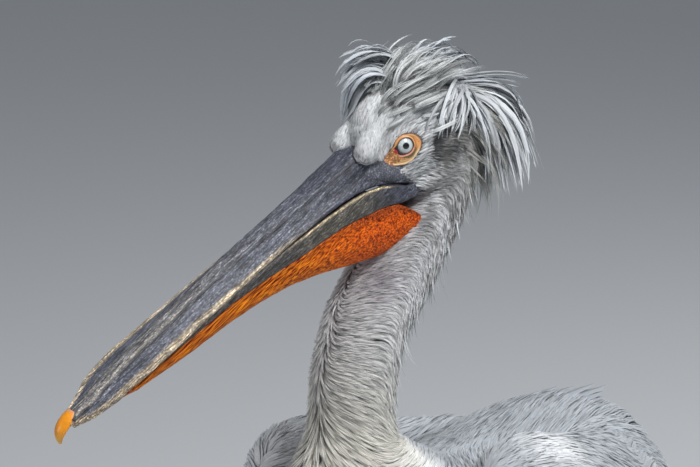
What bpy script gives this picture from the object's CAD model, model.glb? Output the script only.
"""Looks of the standing pelican: one skin, a coat of feathers made of mesh, bill, pouch, eyes and feet.

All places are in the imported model's frame, in metres.  The tables of the body's sections, the wings
and the bill are the ones the solids were made from.  `a` runs forward along the bill, `b` to the
bird's left and `c` up, from where the forehead feathers meet the ridge of the bill.
"""
from math import cos, exp, pi, radians, sin

import bpy
import numpy as np
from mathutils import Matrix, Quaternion, Vector
from mathutils.bvhtree import BVHTree


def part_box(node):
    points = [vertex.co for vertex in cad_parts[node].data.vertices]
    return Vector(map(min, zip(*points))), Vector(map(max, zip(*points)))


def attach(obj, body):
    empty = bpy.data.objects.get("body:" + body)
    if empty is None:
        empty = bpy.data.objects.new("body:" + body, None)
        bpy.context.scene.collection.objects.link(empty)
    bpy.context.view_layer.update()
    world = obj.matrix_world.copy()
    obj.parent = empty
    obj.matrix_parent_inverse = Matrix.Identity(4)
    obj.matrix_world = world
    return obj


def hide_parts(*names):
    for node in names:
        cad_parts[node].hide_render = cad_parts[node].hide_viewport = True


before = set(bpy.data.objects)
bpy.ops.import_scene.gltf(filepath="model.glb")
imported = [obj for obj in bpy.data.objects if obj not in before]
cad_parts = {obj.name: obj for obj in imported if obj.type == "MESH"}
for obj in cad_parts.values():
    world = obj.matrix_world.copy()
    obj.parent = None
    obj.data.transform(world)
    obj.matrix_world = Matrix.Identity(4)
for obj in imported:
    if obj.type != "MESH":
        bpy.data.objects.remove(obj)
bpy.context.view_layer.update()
RNG = np.random.default_rng(11)

# ---------------------------------------------------------------- driving dimensions, as in the solids
BILL_LENGTH = 0.405
NAIL_LENGTH = 0.024
BILL_END = BILL_LENGTH - NAIL_LENGTH        # where the nail begins
EYE_PLACE = (-0.036, 0.02, -0.02)
HEAD_ORIGIN = Vector((0.0, -0.0209, 0.7884))
HEAD_PITCH, HEAD_YAW, HEAD_ROLL = radians(31.7), radians(14.2), radians(7.95)
HEAD_SHIFT = 0.0262
TRUNK_PITCH, TRUNK_ROLL = radians(7.5), radians(5.0)
TRUNK_PIVOT = Vector((0.0, -0.008, 0.513))
HEAD_ROWS = (                   # top and throat as (a, c), half width, how far the widest place lies up
    ((0.0, 0.002), (0.0, -0.04), 0.025, -0.1),
    ((-0.018, 0.01), (-0.017, -0.05), 0.0275, 0.0),
    ((-0.036, 0.018), (-0.022, -0.06), 0.0315, 0.05),
    ((-0.063, 0.02), (-0.026, -0.07), 0.0345, 0.0),
    ((-0.091, 0.008), (-0.029, -0.076), 0.037, 0.0),
    ((-0.112, -0.02), (-0.03, -0.078), 0.039, 0.0),
)
BODY_ROWS = (                   # crest line and belly line as (Y, Z), half width, the same
    ((0.1143, 0.813), (0.05, 0.7385), 0.041, 0.0),
    ((0.143, 0.757), (0.0495, 0.7365), 0.041, 0.0),
    ((0.128, 0.698), (0.047, 0.731), 0.041, 0.0),
    ((0.0997, 0.658), (0.0283, 0.702), 0.042, 0.0),
    ((0.0773, 0.6225), (0.0107, 0.6735), 0.042, 0.0),
    ((0.0483, 0.5908), (-0.0243, 0.6332), 0.042, 0.0),
    ((0.0376, 0.5565), (-0.0466, 0.5735), 0.043, 0.0),
    ((0.038, 0.513), (-0.054, 0.513), 0.046, 0.0),
    ((0.056, 0.5), (-0.07, 0.462), 0.062, 0.0),
    ((0.08, 0.492), (-0.084, 0.385), 0.09, 0.05),
    ((0.108, 0.483), (-0.062, 0.29), 0.116, 0.05),
    ((0.142, 0.485), (0.015, 0.228), 0.133, 0.05),
    ((0.192, 0.492), (0.115, 0.206), 0.141, 0.05),
    ((0.262, 0.505), (0.225, 0.208), 0.141, 0.02),
    ((0.345, 0.516), (0.325, 0.232), 0.13, -0.05),
    ((0.42, 0.5), (0.42, 0.264), 0.104, -0.1),
    ((0.49, 0.425), (0.49, 0.29), 0.07, -0.05),
    ((0.56, 0.362), (0.55, 0.312), 0.034, 0.0),
)
ATLAS, NECK_END, LEAN_END = 6, 12, 14.5         # rows where the head's turn fades, is gone, and all leans
LAST_ROW = 23.0
WING_ROWS = (                   # Y, centre X, centre Z, half width, half height, inward slant in degrees
    (0.012, 0.125, 0.43, 0.006, 0.012, 0),
    (0.025, 0.126, 0.43, 0.024, 0.05, 2),
    (0.045, 0.128, 0.43, 0.036, 0.072, 4),
    (0.09, 0.13, 0.424, 0.044, 0.086, 6),
    (0.15, 0.128, 0.412, 0.048, 0.092, 9),
    (0.22, 0.121, 0.401, 0.05, 0.098, 13),
    (0.3, 0.108, 0.391, 0.049, 0.102, 18),
    (0.38, 0.089, 0.379, 0.044, 0.096, 24),
    (0.46, 0.068, 0.364, 0.037, 0.079, 28),
    (0.54, 0.05, 0.344, 0.029, 0.056, 28),
    (0.61, 0.037, 0.325, 0.022, 0.038, 24),
    (0.66, 0.029, 0.311, 0.015, 0.018, 18),
    (0.69, 0.025, 0.303, 0.008, 0.006, 12),
)
TAIL_ROWS = (                   # Y, centre Z, half width, half thickness
    (0.49, 0.34, 0.03, 0.024),
    (0.545, 0.315, 0.05, 0.014),
    (0.6, 0.288, 0.068, 0.007),
    (0.66, 0.259, 0.084, 0.004),
    (0.69, 0.245, 0.08, 0.0025),
)
THIGH_ROWS = (                  # centre and radius
    ((0.074, 0.24, 0.262), 0.05),
    ((0.076, 0.248, 0.215), 0.049),
    ((0.078, 0.262, 0.18), 0.038),
    ((0.08, 0.278, 0.152), 0.025),
    ((0.081, 0.289, 0.136), 0.0165),
)
SHANK_ROWS = (
    ((0.081, 0.2895, 0.1355), 0.0125),
    ((0.081, 0.291, 0.122), 0.015),
    ((0.082, 0.287, 0.105), 0.0105),
    ((0.083, 0.279, 0.076), 0.0088),
    ((0.0845, 0.266, 0.043), 0.009),
    ((0.085, 0.262, 0.03), 0.01),
    ((0.085, 0.262, 0.0193), 0.0112),
)
# Toes: how far out, how far forward and how high.
TOES = ((-0.046, -0.004, 0.0085), (-0.034, 0.088, 0.011), (0.002, 0.126, 0.012), (0.046, 0.104, 0.011))
HEEL = (0.085, 0.262)
WEB_THICK, INSTEP, INSTEP_RADIUS, CLAW_LENGTH = 0.0035, 0.019, 0.011, 0.013
WEB_SCALLOP = (0.6, 0.8, 0.84)
# The bill's half width and its ridge's by the share of its length; the jaw's depth and reach, and the
# pouch's upper and lower line, by a.
BILL_WIDTH = ((0.0, 0.025), (0.25, 0.0225), (0.38, 0.0225), (0.52, 0.024), (0.76, 0.027),
              (0.86, 0.0232), (0.905, 0.0162), (0.937, 0.0088))
TOMIUM_THICK = 0.0045
BILL_SWAY, BILL_SKEW, GAPE_SLOPE = 0.0036, 0.0036, 0.66
RIDGE_HALF = ((0.0, 0.013), (0.2, 0.0085), (0.5, 0.006), (0.93, 0.0045))
RAMUS_DEPTH = ((-0.03, 0.019), (-0.015, 0.021), (0.0, 0.022), (0.03, 0.023), (0.066, 0.019), (0.11, 0.017),
               (0.15, 0.012), (0.2, 0.0065), (0.3, 0.005), (0.38, 0.004))
RAMUS_OUT = ((-0.03, 0.03), (0.0, 0.031), (0.066, 0.028), (0.15, 0.024), (0.24, 0.0225),
             (0.32, 0.02), (0.38, 0.008))
JAW_START, JAW_END = -0.03, BILL_LENGTH - 0.037
POUCH_TOP = ((-0.028, -0.107), (-0.024, -0.099), (-0.018, -0.09), (-0.0124, -0.0815), (-0.002, -0.065),
             (0.006, 0.0))
POUCH_LOW = ((-0.03, -0.118), (-0.022, -0.1255), (-0.01, -0.129), (0.0, -0.1285), (0.015, -0.124),
             (0.035, -0.113), (0.065, -0.0965), (0.092, -0.08), (0.128, -0.062), (0.17, -0.048),
             (0.21, -0.039), (0.26, -0.031), (0.32, -0.017), (0.345, -0.008), (0.372, -0.004))
SIDES = (("left", 1.0), ("right", -1.0))

# ---------------------------------------------------------------- the coat
# By row of the body: how far the tips stand off the skin, the feathers' length, and the half widths of a
# tuft and of one of its strips.
DEPTH = ((0, 0.0016), (3, 0.0028), (6, 0.0045), (9, 0.005), (12, 0.006), (14, 0.01), (20, 0.012), (23, 0.008))
LENGTH = ((0, 0.006), (2, 0.008), (4, 0.012), (6, 0.013), (8, 0.0135), (11, 0.017), (13, 0.028),
          (15, 0.042), (23, 0.052))
SPREAD = ((0, 0.0008), (3, 0.0011), (6, 0.0011), (9, 0.0011), (12, 0.0015), (15, 0.003), (23, 0.005))
STRAND = ((0, 0.00024), (3, 0.00028), (6, 0.00028), (9, 0.0003), (12, 0.00038), (15, 0.0007), (23, 0.0012))

WHITE = (0.85, 0.86, 0.87)
WARM = (0.8, 0.775, 0.69)
SILVER = (0.56, 0.59, 0.63)
SLATE_WHITE = (0.38, 0.41, 0.445)
DUSK = (0.026, 0.027, 0.027)
LILAC = (0.2, 0.165, 0.215)
SKIN_GREY = (0.1, 0.105, 0.125)
LEG_GREY = (0.085, 0.085, 0.092)
LID_ORANGE = (0.42, 0.2, 0.08)
DOWN = (0.34, 0.34, 0.34)
QUILL = (0.105, 0.108, 0.115)
UV_HALF = 0.0015                # half the side of a feather's own patch on the unwrap


# ---------------------------------------------------------------- numbers
def smooth(share):
    """Ease from 0 to 1."""
    share = np.clip(share, 0.0, 1.0)
    return share * share * (3.0 - 2.0 * share)


def ease(value, start, width):
    """Ease from 0 at `start` to 1 a `width` further on; a negative width runs the other way."""
    return smooth((value - start) / width)


def along(table, where):
    """Read a table of (place, value) rows between its rows."""
    places, values = zip(*table)
    return np.interp(where, places, values)


def catmull_rom(before, here, there, beyond, share):
    """A smooth curve through four places, at a share of the way between the middle two."""
    square = 2 * before - 5 * here + 4 * there - beyond
    cube = 3 * here - before - 3 * there + beyond
    return 0.5 * (2 * here + (there - before) * share + square * share ** 2 + cube * share ** 3)


def curve_through(rows, where):
    """A smooth curve through rows of numbers, at a row index with a fraction."""
    rows = np.asarray(rows, dtype=float)
    last = len(rows) - 1
    index = min(int(where), last - 1)
    before, beyond = rows[max(index - 1, 0)], rows[min(index + 2, last)]
    return catmull_rom(before, rows[index], rows[index + 1], beyond, where - index)


def curve_points(rows, fine):
    """A smooth curve through rows of numbers, with `fine` points to each row."""
    return np.array([curve_through(rows, i / fine) for i in range((len(rows) - 1) * fine + 1)])


def unit(vectors):
    """Vectors scaled to length 1."""
    return vectors / np.maximum(np.linalg.norm(vectors, axis=-1, keepdims=True), 1e-12)


def flat_to(vectors, normals):
    """Unit vectors with their part along the normals taken away."""
    return unit(vectors - normals * np.sum(vectors * normals, axis=1, keepdims=True))


def spun(vectors, axes, angles):
    """Vectors turned about axes at right angles to them."""
    angles = np.asarray(angles)[..., None]
    return vectors * np.cos(angles) + np.cross(axes, vectors) * np.sin(angles)


def noise(points, scale, seed=0):
    """Smooth random numbers, -1 to 1, over space."""
    cell = points / scale + seed * 17.31
    low = np.floor(cell).astype(np.int64)
    part = smooth(cell - low)
    total = 0.0
    for corner in np.ndindex(2, 2, 2):
        mixed = (low + corner) @ np.array((73856093, 19349663, 83492791))
        mixed = (mixed ^ (mixed >> 13)) * 1274126177 & 0x7FFFFFFF
        mixed = (mixed ^ (mixed >> 15)) & 0xFFFF
        weight = np.prod(np.where(corner, part, 1.0 - part), axis=-1)
        total = total + weight * (mixed / 32767.5 - 1.0)
    return total


def hill(*terms):
    """A smooth hill, 1 at its top, from a (value, middle, width) for each way."""
    return np.exp(-sum(((value - middle) / width) ** 2 for value, middle, width in terms))


def blend(one, other, share):
    """Mix two colours, or arrays of them."""
    share = np.asarray(share)[..., None]
    return np.asarray(one) * (1.0 - share) + np.asarray(other) * share


def painted(tint, *coats):
    """A colour with others laid over it, each (colour, how much of it)."""
    for colour, share in coats:
        tint = blend(tint, colour, share)
    return tint


def joined(a, b, c):
    """Rows of three numbers, from columns or single numbers."""
    return np.column_stack(np.broadcast_arrays(a, b, c))


# ---------------------------------------------------------------- the frames of head and body
FORWARD = Vector((0.0, -cos(HEAD_PITCH), -sin(HEAD_PITCH)))
LEFT = Vector((1.0, 0.0, 0.0))
UPWARD = FORWARD.cross(LEFT)


def sagittal(a, c):
    """A point of the head's middle plane, before the head is turned, as (Y, Z)."""
    point = HEAD_ORIGIN + FORWARD * a + UPWARD * c
    return point.y, point.z


ROWS = [(*sagittal(*high), *sagittal(*low), width, lean) for high, low, width, lean in HEAD_ROWS]
ROWS += [(*high, *low, width, lean) for high, low, width, lean in BODY_ROWS]
ATLAS_CENTRE = np.array((0.0, (ROWS[ATLAS][0] + ROWS[ATLAS][2]) / 2, (ROWS[ATLAS][1] + ROWS[ATLAS][3]) / 2))
TURN = Quaternion((0.0, 0.0, 1.0), -HEAD_YAW)
TURN = Quaternion(TURN @ FORWARD, -HEAD_ROLL) @ TURN
LEAN = Quaternion(Vector((-TRUNK_PITCH, -TRUNK_ROLL, 0.0)))
STAND = np.zeros(3)             # from the loft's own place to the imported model's; set below from the eye


def leaned(points, share=1.0):
    """Tilt points of the level trunk with the standing body."""
    turn = np.array(Quaternion().slerp(LEAN, float(share)).to_matrix())
    pivot = np.array(TRUNK_PIVOT)
    return pivot + (points - pivot) @ turn.T + STAND


def carried(points, where, centre):
    """Carry points of the untwisted loft to their place, at a row index."""
    share, pivot = 0.0, ATLAS_CENTRE
    if where > ATLAS:
        share, pivot = min(1.0, (where - ATLAS) / (NECK_END - ATLAS)), centre
    turn = np.array(Quaternion().slerp(TURN, float(1.0 - smooth(share))).to_matrix())
    shift = np.array((HEAD_SHIFT * (1.0 - share) ** 1.3, 0.0, 0.0))
    return leaned(pivot + (points - pivot) @ turn.T + shift, ease(where, NECK_END, LEAN_END - NECK_END))


def head_point(places):
    """Places (a, b, c) of the head's frame in the world."""
    a, b, c = np.moveaxis(np.asarray(places), -1, 0)
    place = np.array(HEAD_ORIGIN) + np.multiply.outer(a, FORWARD) + np.multiply.outer(b, LEFT)
    return carried(place + np.multiply.outer(c, UPWARD), 0.0, ATLAS_CENTRE)


LOW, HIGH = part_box("eye_left")
STAND = (np.array(LOW) + np.array(HIGH)) / 2 - head_point(EYE_PLACE)
HEAD_ZERO = head_point((0.0, 0.0, 0.0))
HEAD_AXES = np.array([head_point(axis) - HEAD_ZERO for axis in np.eye(3)])


def in_head(points):
    """World points as (a, b, c) of the head's frame."""
    return (points - HEAD_ZERO) @ HEAD_AXES.T


# ---------------------------------------------------------------- lofted forms
def body_ring(where, inset, count):
    """One section of the body, from the crest line round by the left side."""
    crest_y, crest_z, belly_y, belly_z, width, lean = curve_through(ROWS, where)
    high, low = np.array((0.0, crest_y, crest_z)), np.array((0.0, belly_y, belly_z))
    centre, half = (high + low) / 2, np.linalg.norm(high - low) / 2
    ring = oval(centre, LEFT, unit(high - low), width - inset, half - inset, count, lean)
    return carried(ring, where, centre)


def oval(centre, side, up, half_width, half_height, count, lean=0.0):
    """An oval ring in the plane of two unit vectors."""
    angle = 2 * pi * np.arange(count) / count
    across = half_width * np.sin(angle) * (1.0 + lean * np.cos(angle))
    return centre + np.outer(across, side) + np.outer(half_height * np.cos(angle), up)


def wing_frame(y, sign):
    """Middle, outward and upward directions and half sizes of the folded wing, at a length Y."""
    where = np.interp(y, [row[0] for row in WING_ROWS], range(len(WING_ROWS)))
    row = curve_through(WING_ROWS, float(where))
    slant = radians(row[5])
    across = np.array((sign * cos(slant), 0.0, sin(slant)))
    up = np.array((-sign * sin(slant), 0.0, cos(slant)))
    return np.array((row[1] * sign, y, row[2])), across, up, row[3], row[4]


def wing_ring(y, sign, inset, count):
    """One section of the folded wing."""
    centre, across, up, half_width, half_height = wing_frame(y, sign)
    inset = min(inset, half_width * 0.35)
    return leaned(oval(centre, across, up, half_width - inset, half_height - inset, count, -0.1))


def limb_rings(rows, sign, inset, count):
    """Rings along a leg from rows of centre and radius."""
    line = curve_points([(*centre, radius) for centre, radius in rows], 4)
    line[:, 0] *= sign
    rings = []
    for place, way in zip(line, unit(np.gradient(line[:, :3], axis=0))):
        up, radius = unit(np.cross(way, LEFT)), place[3] - inset
        rings.append(oval(place[:3] + STAND, unit(np.cross(up, way)), up, radius, radius, count))
    return rings


class Form:
    """A loft of rings, closed by caps, that knows how far along and around each of its points is."""

    def __init__(self, rings, places=None, island=None):
        """Take the rings, the place along of each, and the corner and size of its part of the unwrap."""
        self.points = np.array(rings)
        rows, count = self.points.shape[:2]
        self.places = np.arange(rows) if places is None else np.array(places, dtype=float)
        self.island = island
        i, j = np.meshgrid(np.arange(rows - 1), np.arange(count), indexing="ij")
        k = (j + 1) % count
        quads = np.stack((i * count + j, i * count + k, (i + 1) * count + k, (i + 1) * count + j), axis=-1)
        self.quads = quads.reshape(-1, 4)
        self.tree = BVHTree.FromPolygons(self.points.reshape(-1, 3).tolist(), self.quads.tolist())

    def shell(self):
        """Vertices and faces of the closed solid."""
        rows, count = self.points.shape[:2]
        caps = [list(range(count))[::-1], list(range((rows - 1) * count, rows * count))]
        return self.points.reshape(-1, 3), self.quads.tolist() + caps

    def read(self, points):
        """Distance to the form, places along and around (0 to 1), and the ways along and around."""
        count = self.points.shape[1]
        hits = [self.tree.find_nearest(point) for point in points.tolist()]
        face, distance = (np.array([hit[part] for hit in hits]) for part in (2, 3))
        i, j = face // count, face % count
        here = self.points[i, j]
        steps = (self.points[i + 1, j] - here, self.points[i, (j + 1) % count] - here)
        share_i, share_j = (np.clip(np.sum((points - here) * step, 1) / np.sum(step ** 2, 1), 0, 1)
                            for step in steps)
        where = self.places[i] + (self.places[i + 1] - self.places[i]) * share_i
        return distance, where, (j + share_j) / count, unit(steps[0]), unit(steps[1])


BODY, WING_L, WING_R, THIGH_L = range(4)        # parts of the skin in order; THIGH_L + 1 is the right thigh
WING_COAT, THIGH_COAT = 0.009, 0.007            # how far the skin lies inside the solids there


def make_forms(scale):
    """The outer forms of body, wings and thighs, drawn in by `scale` times the coat's depth."""
    places = np.arange(0, LAST_ROW + 0.01, 1 / 6)
    rings = [body_ring(where, scale * along(DEPTH, where), 72) for where in places]
    forms = [Form(rings, places, (0.01, 0.01, 0.62, 0.98))]
    reach = np.concatenate((np.linspace(0.012, 0.06, 10), np.linspace(0.07, 0.69, 50)))
    for part, (_, sign) in enumerate(SIDES):
        rings = [wing_ring(y, sign, scale * WING_COAT, 40) for y in reach]
        forms.append(Form(rings, reach, (0.65, 0.01 + 0.36 * part, 0.33, 0.34)))
    for part, (_, sign) in enumerate(SIDES):
        rings = limb_rings(THIGH_ROWS, sign, scale * THIGH_COAT, 28)
        forms.append(Form(rings, np.linspace(0, 1, len(rings)), (0.65 + 0.17 * part, 0.74, 0.15, 0.12)))
    return forms


OUTER = make_forms(0.0)


def unwrapped(part, where, turn):
    """Places on the skin's unwrap, from the part and the places along and around it."""
    first, last = np.array([(form.places[0], form.places[-1]) for form in OUTER])[part].T
    left, low, width, height = np.array([form.island for form in OUTER])[part].T
    return np.stack((left + width * ((where - first) / (last - first)), low + height * turn), -1)


# ---------------------------------------------------------------- meshes
SHARP = radians(40)             # edges of the lofted pieces that turn more than this stay crisp


def in_scene(name, data):
    """A new object in the scene."""
    thing = bpy.data.objects.new(name, data)
    bpy.context.scene.collection.objects.link(thing)
    return thing


def new_mesh(name, verts, corners, totals):
    """A smooth mesh from flat arrays: vertices, the faces' corners in a row, and how many each face has."""
    mesh = bpy.data.meshes.new(name)
    mesh.vertices.add(len(verts))
    mesh.vertices.foreach_set("co", np.ascontiguousarray(verts, dtype=np.float32).ravel())
    mesh.loops.add(len(corners))
    mesh.loops.foreach_set("vertex_index", np.ascontiguousarray(corners, dtype=np.int32))
    mesh.polygons.add(len(totals))
    starts = np.concatenate(((0,), np.cumsum(totals)[:-1]))
    mesh.polygons.foreach_set("loop_start", starts.astype(np.int32))
    mesh.update(calc_edges=True)
    mesh.shade_smooth()
    return mesh


def put_tint(mesh, values):
    """Store a colour for each vertex."""
    layer = mesh.color_attributes.new("tint", "FLOAT_COLOR", "POINT")
    filled = np.ones((len(mesh.vertices), 4), dtype=np.float32)
    filled[:, :3] = np.asarray(values).reshape(-1, 3)
    layer.data.foreach_set("color", filled.ravel())


def put_vector(mesh, name, values):
    """Store a vector for each vertex."""
    layer = mesh.attributes.new(name, "FLOAT_VECTOR", "POINT")
    layer.data.foreach_set("vector", np.ascontiguousarray(values, dtype=np.float32).ravel())


def put_unwrap(mesh, uv, corners):
    """Store the unwrap, given for each vertex, on the face corners."""
    layer = mesh.uv_layers.new(name="OFBake")
    layer.data.foreach_set("uv", np.ascontiguousarray(uv[corners], dtype=np.float32).ravel())


def placed(name, mesh, finish, nodes=()):
    """Put a mesh in the scene as a piece of the bird that stands for some of the solids."""
    mesh.materials.append(finish)
    piece = in_scene(name, mesh)
    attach(piece, "root")
    if nodes:
        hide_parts(*nodes)


def strip_piece(name, verts, pattern, uv, tint, finish, nodes=(), vane=None):
    """Join many small strips with the same faces into one piece; arrays run (strip, point, ...)."""
    count, size = verts.shape[:2]
    corners = ((np.arange(count) * size)[:, None] + np.concatenate(pattern)).ravel()
    mesh = new_mesh(name, verts.reshape(-1, 3), corners, np.tile([len(face) for face in pattern], count))
    put_unwrap(mesh, uv.reshape(-1, 2), corners)
    put_tint(mesh, tint)
    if vane is not None:
        put_vector(mesh, "vane", vane)
    placed(name, mesh, finish, nodes)


def lofted(name, rings, tint, finish, nodes=(), place=None):
    """A closed piece skinned over rings, with a colour and a place for each point."""
    verts, faces = Form(rings).shell()
    mesh = new_mesh(name, verts, np.concatenate(faces), [len(face) for face in faces])
    put_tint(mesh, tint)
    if place is not None:
        put_vector(mesh, "place", place)
    mesh.set_sharp_from_angle(angle=SHARP)
    placed(name, mesh, finish, nodes)


# ---------------------------------------------------------------- finishes
FLECK = (2.3, 2.25, 2.2)        # the palest specks of skin and horn, times their colour


def principled(name, roughness, **sockets):
    """A new material: its node tree, its Principled shader, and the material."""
    material = bpy.data.materials.new(name)
    material.use_nodes = True
    shader = material.node_tree.nodes["Principled BSDF"]
    shader.inputs["Roughness"].default_value = roughness
    for socket, value in sockets.items():
        shader.inputs[socket.replace("_", " ")].default_value = value
    return material.node_tree, shader, material


def node(tree, kind, *inputs, **settings):
    """A new shader node with its settings and its inputs, each a value or a socket to link from."""
    made = tree.nodes.new("ShaderNode" + kind)
    pairs = list(zip(made.inputs, inputs))
    for key, value in settings.items():
        label = key.replace("_", " ")
        if label in made.inputs:
            pairs.append((made.inputs[label], value))
        else:
            setattr(made, key, value)
    for socket, value in pairs:
        if isinstance(value, bpy.types.NodeSocket):
            tree.links.new(value, socket)
        else:
            socket.default_value = value
    return made


def sum_node(tree, operation, *inputs):
    """What a math node makes of its inputs."""
    return node(tree, "Math", *inputs, operation=operation).outputs[0]


def stored(tree, name, output="Vector"):
    """What the mesh has stored under a name."""
    return node(tree, "Attribute", attribute_name=name).outputs[output]


def mottled(tree, vector, scale, detail=4.0, stretch=(1.0, 1.0, 1.0), rough=0.6):
    """Noise over a stretched place."""
    place = node(tree, "Mapping", vector, Scale=stretch).outputs["Vector"]
    return node(tree, "TexNoise", place, Scale=scale, Detail=detail, Roughness=rough).outputs["Fac"]


def scaled_colour(tree, colour, factor, low, high):
    """A colour made darker or lighter by a 0 to 1 factor."""
    ranged = node(tree, "MapRange", factor, From_Min=0.3, From_Max=0.7, To_Min=low, To_Max=high)
    scale = node(tree, "VectorMath", colour, operation="SCALE", Scale=ranged.outputs["Result"])
    return scale.outputs["Vector"]


def toned(tree, colour, factor, low, high, span=(0.36, 0.64)):
    """A colour times a tone that runs from one colour to another with a factor."""
    ranged = node(tree, "MapRange", data_type="FLOAT_VECTOR")
    vectors = [socket for socket in ranged.inputs if socket.type == "VECTOR"]
    tree.links.new(factor, vectors[0])
    for socket, value in zip(vectors[1:5], ((span[0],) * 3, (span[1],) * 3, low, high)):
        socket.default_value = value
    return node(tree, "VectorMath", colour, ranged.outputs["Vector"], operation="MULTIPLY").outputs["Vector"]


def dressed(tree, shader, material, colour, *bumps):
    """A material given its colour and its bumps, each (height socket, strength, distance)."""
    tree.links.new(colour, shader.inputs["Base Color"])
    under = {}
    for height, strength, distance in bumps:
        bump = node(tree, "Bump", Strength=strength, Distance=distance, Height=height, **under)
        under = {"Normal": bump.outputs["Normal"]}
    if under:
        tree.links.new(under["Normal"], shader.inputs["Normal"])
    return material


def plain_finish(name, roughness, **sockets):
    """A surface in its stored colour."""
    made = principled(name, roughness, **sockets)
    return dressed(*made, stored(made[0], "tint", "Color"))


def vane_finish():
    """Broad feathers: fine slanting barbs either side of the shaft."""
    tree, shader, material = principled("vane_coat", 0.5, Sheen_Weight=0.15, Specular_IOR_Level=0.35)
    parts = node(tree, "SeparateXYZ", stored(tree, "vane"))
    side = sum_node(tree, "ABSOLUTE", parts.outputs["X"])
    length = sum_node(tree, "MULTIPLY", parts.outputs["Y"], 130.0)
    slant = sum_node(tree, "MULTIPLY_ADD", side, -1.2, length)
    comb = sum_node(tree, "SINE", sum_node(tree, "MULTIPLY", slant, 60.0))
    half = node(tree, "MapRange", comb, From_Min=-1.0).outputs["Result"]
    colour = scaled_colour(tree, stored(tree, "tint", "Color"), half, 0.94, 1.03)
    return dressed(tree, shader, material, colour, (half, 0.25, 0.0004))


def skin_finish():
    """The skin: down-pale under the coat, grey and pebbled on face and legs."""
    tree, shader, material = principled("bird_skin", 0.58, Specular_IOR_Level=0.35)
    place = node(tree, "NewGeometry").outputs["Position"]
    fine = mottled(tree, place, 700.0, 2.0, rough=0.7)
    scales = node(tree, "TexVoronoi", place, Scale=520.0).outputs["Distance"]
    colour = toned(tree, stored(tree, "tint", "Color"), fine, (0.62, 0.62, 0.66), FLECK, (0.5, 0.68))
    colour = scaled_colour(tree, colour, mottled(tree, place, 160.0), 0.75, 1.25)
    return dressed(tree, shader, material, colour, (scales, 0.5, 0.0006), (fine, 0.3, 0.0004))


def horn_finish(name, roughness, grain, contrast):
    """Horn with fine pale specks drawn out along the bill, over worn, mottled colour."""
    tree, shader, material = principled(name, roughness, Specular_IOR_Level=0.4)
    place = stored(tree, "place")
    streaks = mottled(tree, place, 820.0, 3.0, (grain, 1.0, 1.0), 0.6)
    patches = mottled(tree, place, 110.0, 4.0, (0.3, 1.0, 1.0), 0.65)
    flecks = mottled(tree, place, 800.0, 2.0, (0.55, 1.0, 1.0), 0.7)
    dark, pale = 1.0 - contrast, 1.0 + contrast
    colour = toned(tree, stored(tree, "tint", "Color"), streaks, (dark,) * 3, (pale,) * 3, (0.38, 0.62))
    colour = toned(tree, colour, patches, (0.8, 0.8, 0.8), (1.2, 1.19, 1.17))
    colour = toned(tree, colour, flecks, (0.66, 0.66, 0.7), FLECK, (0.5, 0.68))
    return dressed(tree, shader, material, colour, (streaks, 0.5, 0.0012), (flecks, 0.5, 0.001))


def pouch_finish():
    """Bare stretchy skin: pebbled at the throat, the pebbles drawn out into creases along the bill."""
    tree, shader, material = principled("pouch_skin_wet", 0.45, Specular_IOR_Level=0.12,
                                        Subsurface_Weight=0.05)
    place = stored(tree, "place")
    grain = mottled(tree, place, 860.0, 1.0)
    creases = mottled(tree, place, 560.0, 1.0, (0.35, 1.0, 1.0), 0.5)
    tint = stored(tree, "tint", "Color")
    colour = toned(tree, tint, grain, (0.2, 0.05, 0.05), (1.4, 2.1, 2.0), (0.38, 0.6))
    colour = toned(tree, colour, creases, (0.82, 0.72, 0.7), (1.1, 1.25, 1.3))
    return dressed(tree, shader, material, colour, (grain, 0.6, 0.0012), (creases, 0.4, 0.001))


PLUME = plain_finish("plumage_coat", 0.62, Sheen_Weight=0.25, Sheen_Roughness=0.5, Specular_IOR_Level=0.3)
VANE, SKIN = vane_finish(), skin_finish()


# ---------------------------------------------------------------- the skin
EYE = np.array((-0.0365, 0.0205, -0.0235))      # middle of the left eyeball, in the head's frame
GAZE = unit(np.array((0.33, 0.84, 0.42)))       # where the left eye looks
EYE_FRONT = unit(np.array((1.0, 0.0, 0.0)) - GAZE * GAZE[0])
EYE_OVER = np.cross(EYE_FRONT, GAZE)
BALL_RADIUS = 0.0125
SOCKET_DEPTH = 0.006                            # how far the skin sinks behind the ball
SKIN_VOXEL, LEG_VOXEL = 0.0028, 0.0015          # grain at which the skin's shells are fused
SMOOTH_IN, SMOOTH_OUT = 0.55, -0.57             # shares by which a fused mesh is evened and swollen again
FOOT_BLEND = 0.02                               # over this length the instep runs out into the toes
# Lid opening and bare skin round the eye: radius in mm against the turn from forward, over the top.
OPENING = ((-180, 7.3), (-137, 7.5), (-99, 8.0), (-59, 8.4), (-17, 10.6), (6, 13.2), (22, 9.6), (51, 7.0),
           (90, 6.8), (135, 7.0), (180, 7.6))
BARE = ((-180, 14.2), (-154, 16.4), (-109, 14.6), (-70, 17.0), (-40, 19.1), (-22, 22.0), (-6, 25.0),
        (4, 25.0), (18, 15.0), (36, 10.8), (90, 10.2), (137, 10.6), (180, 14.2))
# Lower edge of the face's feathers, left side, (a, c): below it the skin is bare to the gape.
FACE_EDGE = ((-0.04, -0.0735), (-0.03, -0.07), (-0.0277, -0.0665), (-0.0209, -0.05), (-0.0185, -0.04),
             (-0.0172, -0.031), (-0.012, -0.026), (-0.008, -0.0195), (-0.004, -0.0135), (0.02, -0.01))
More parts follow.
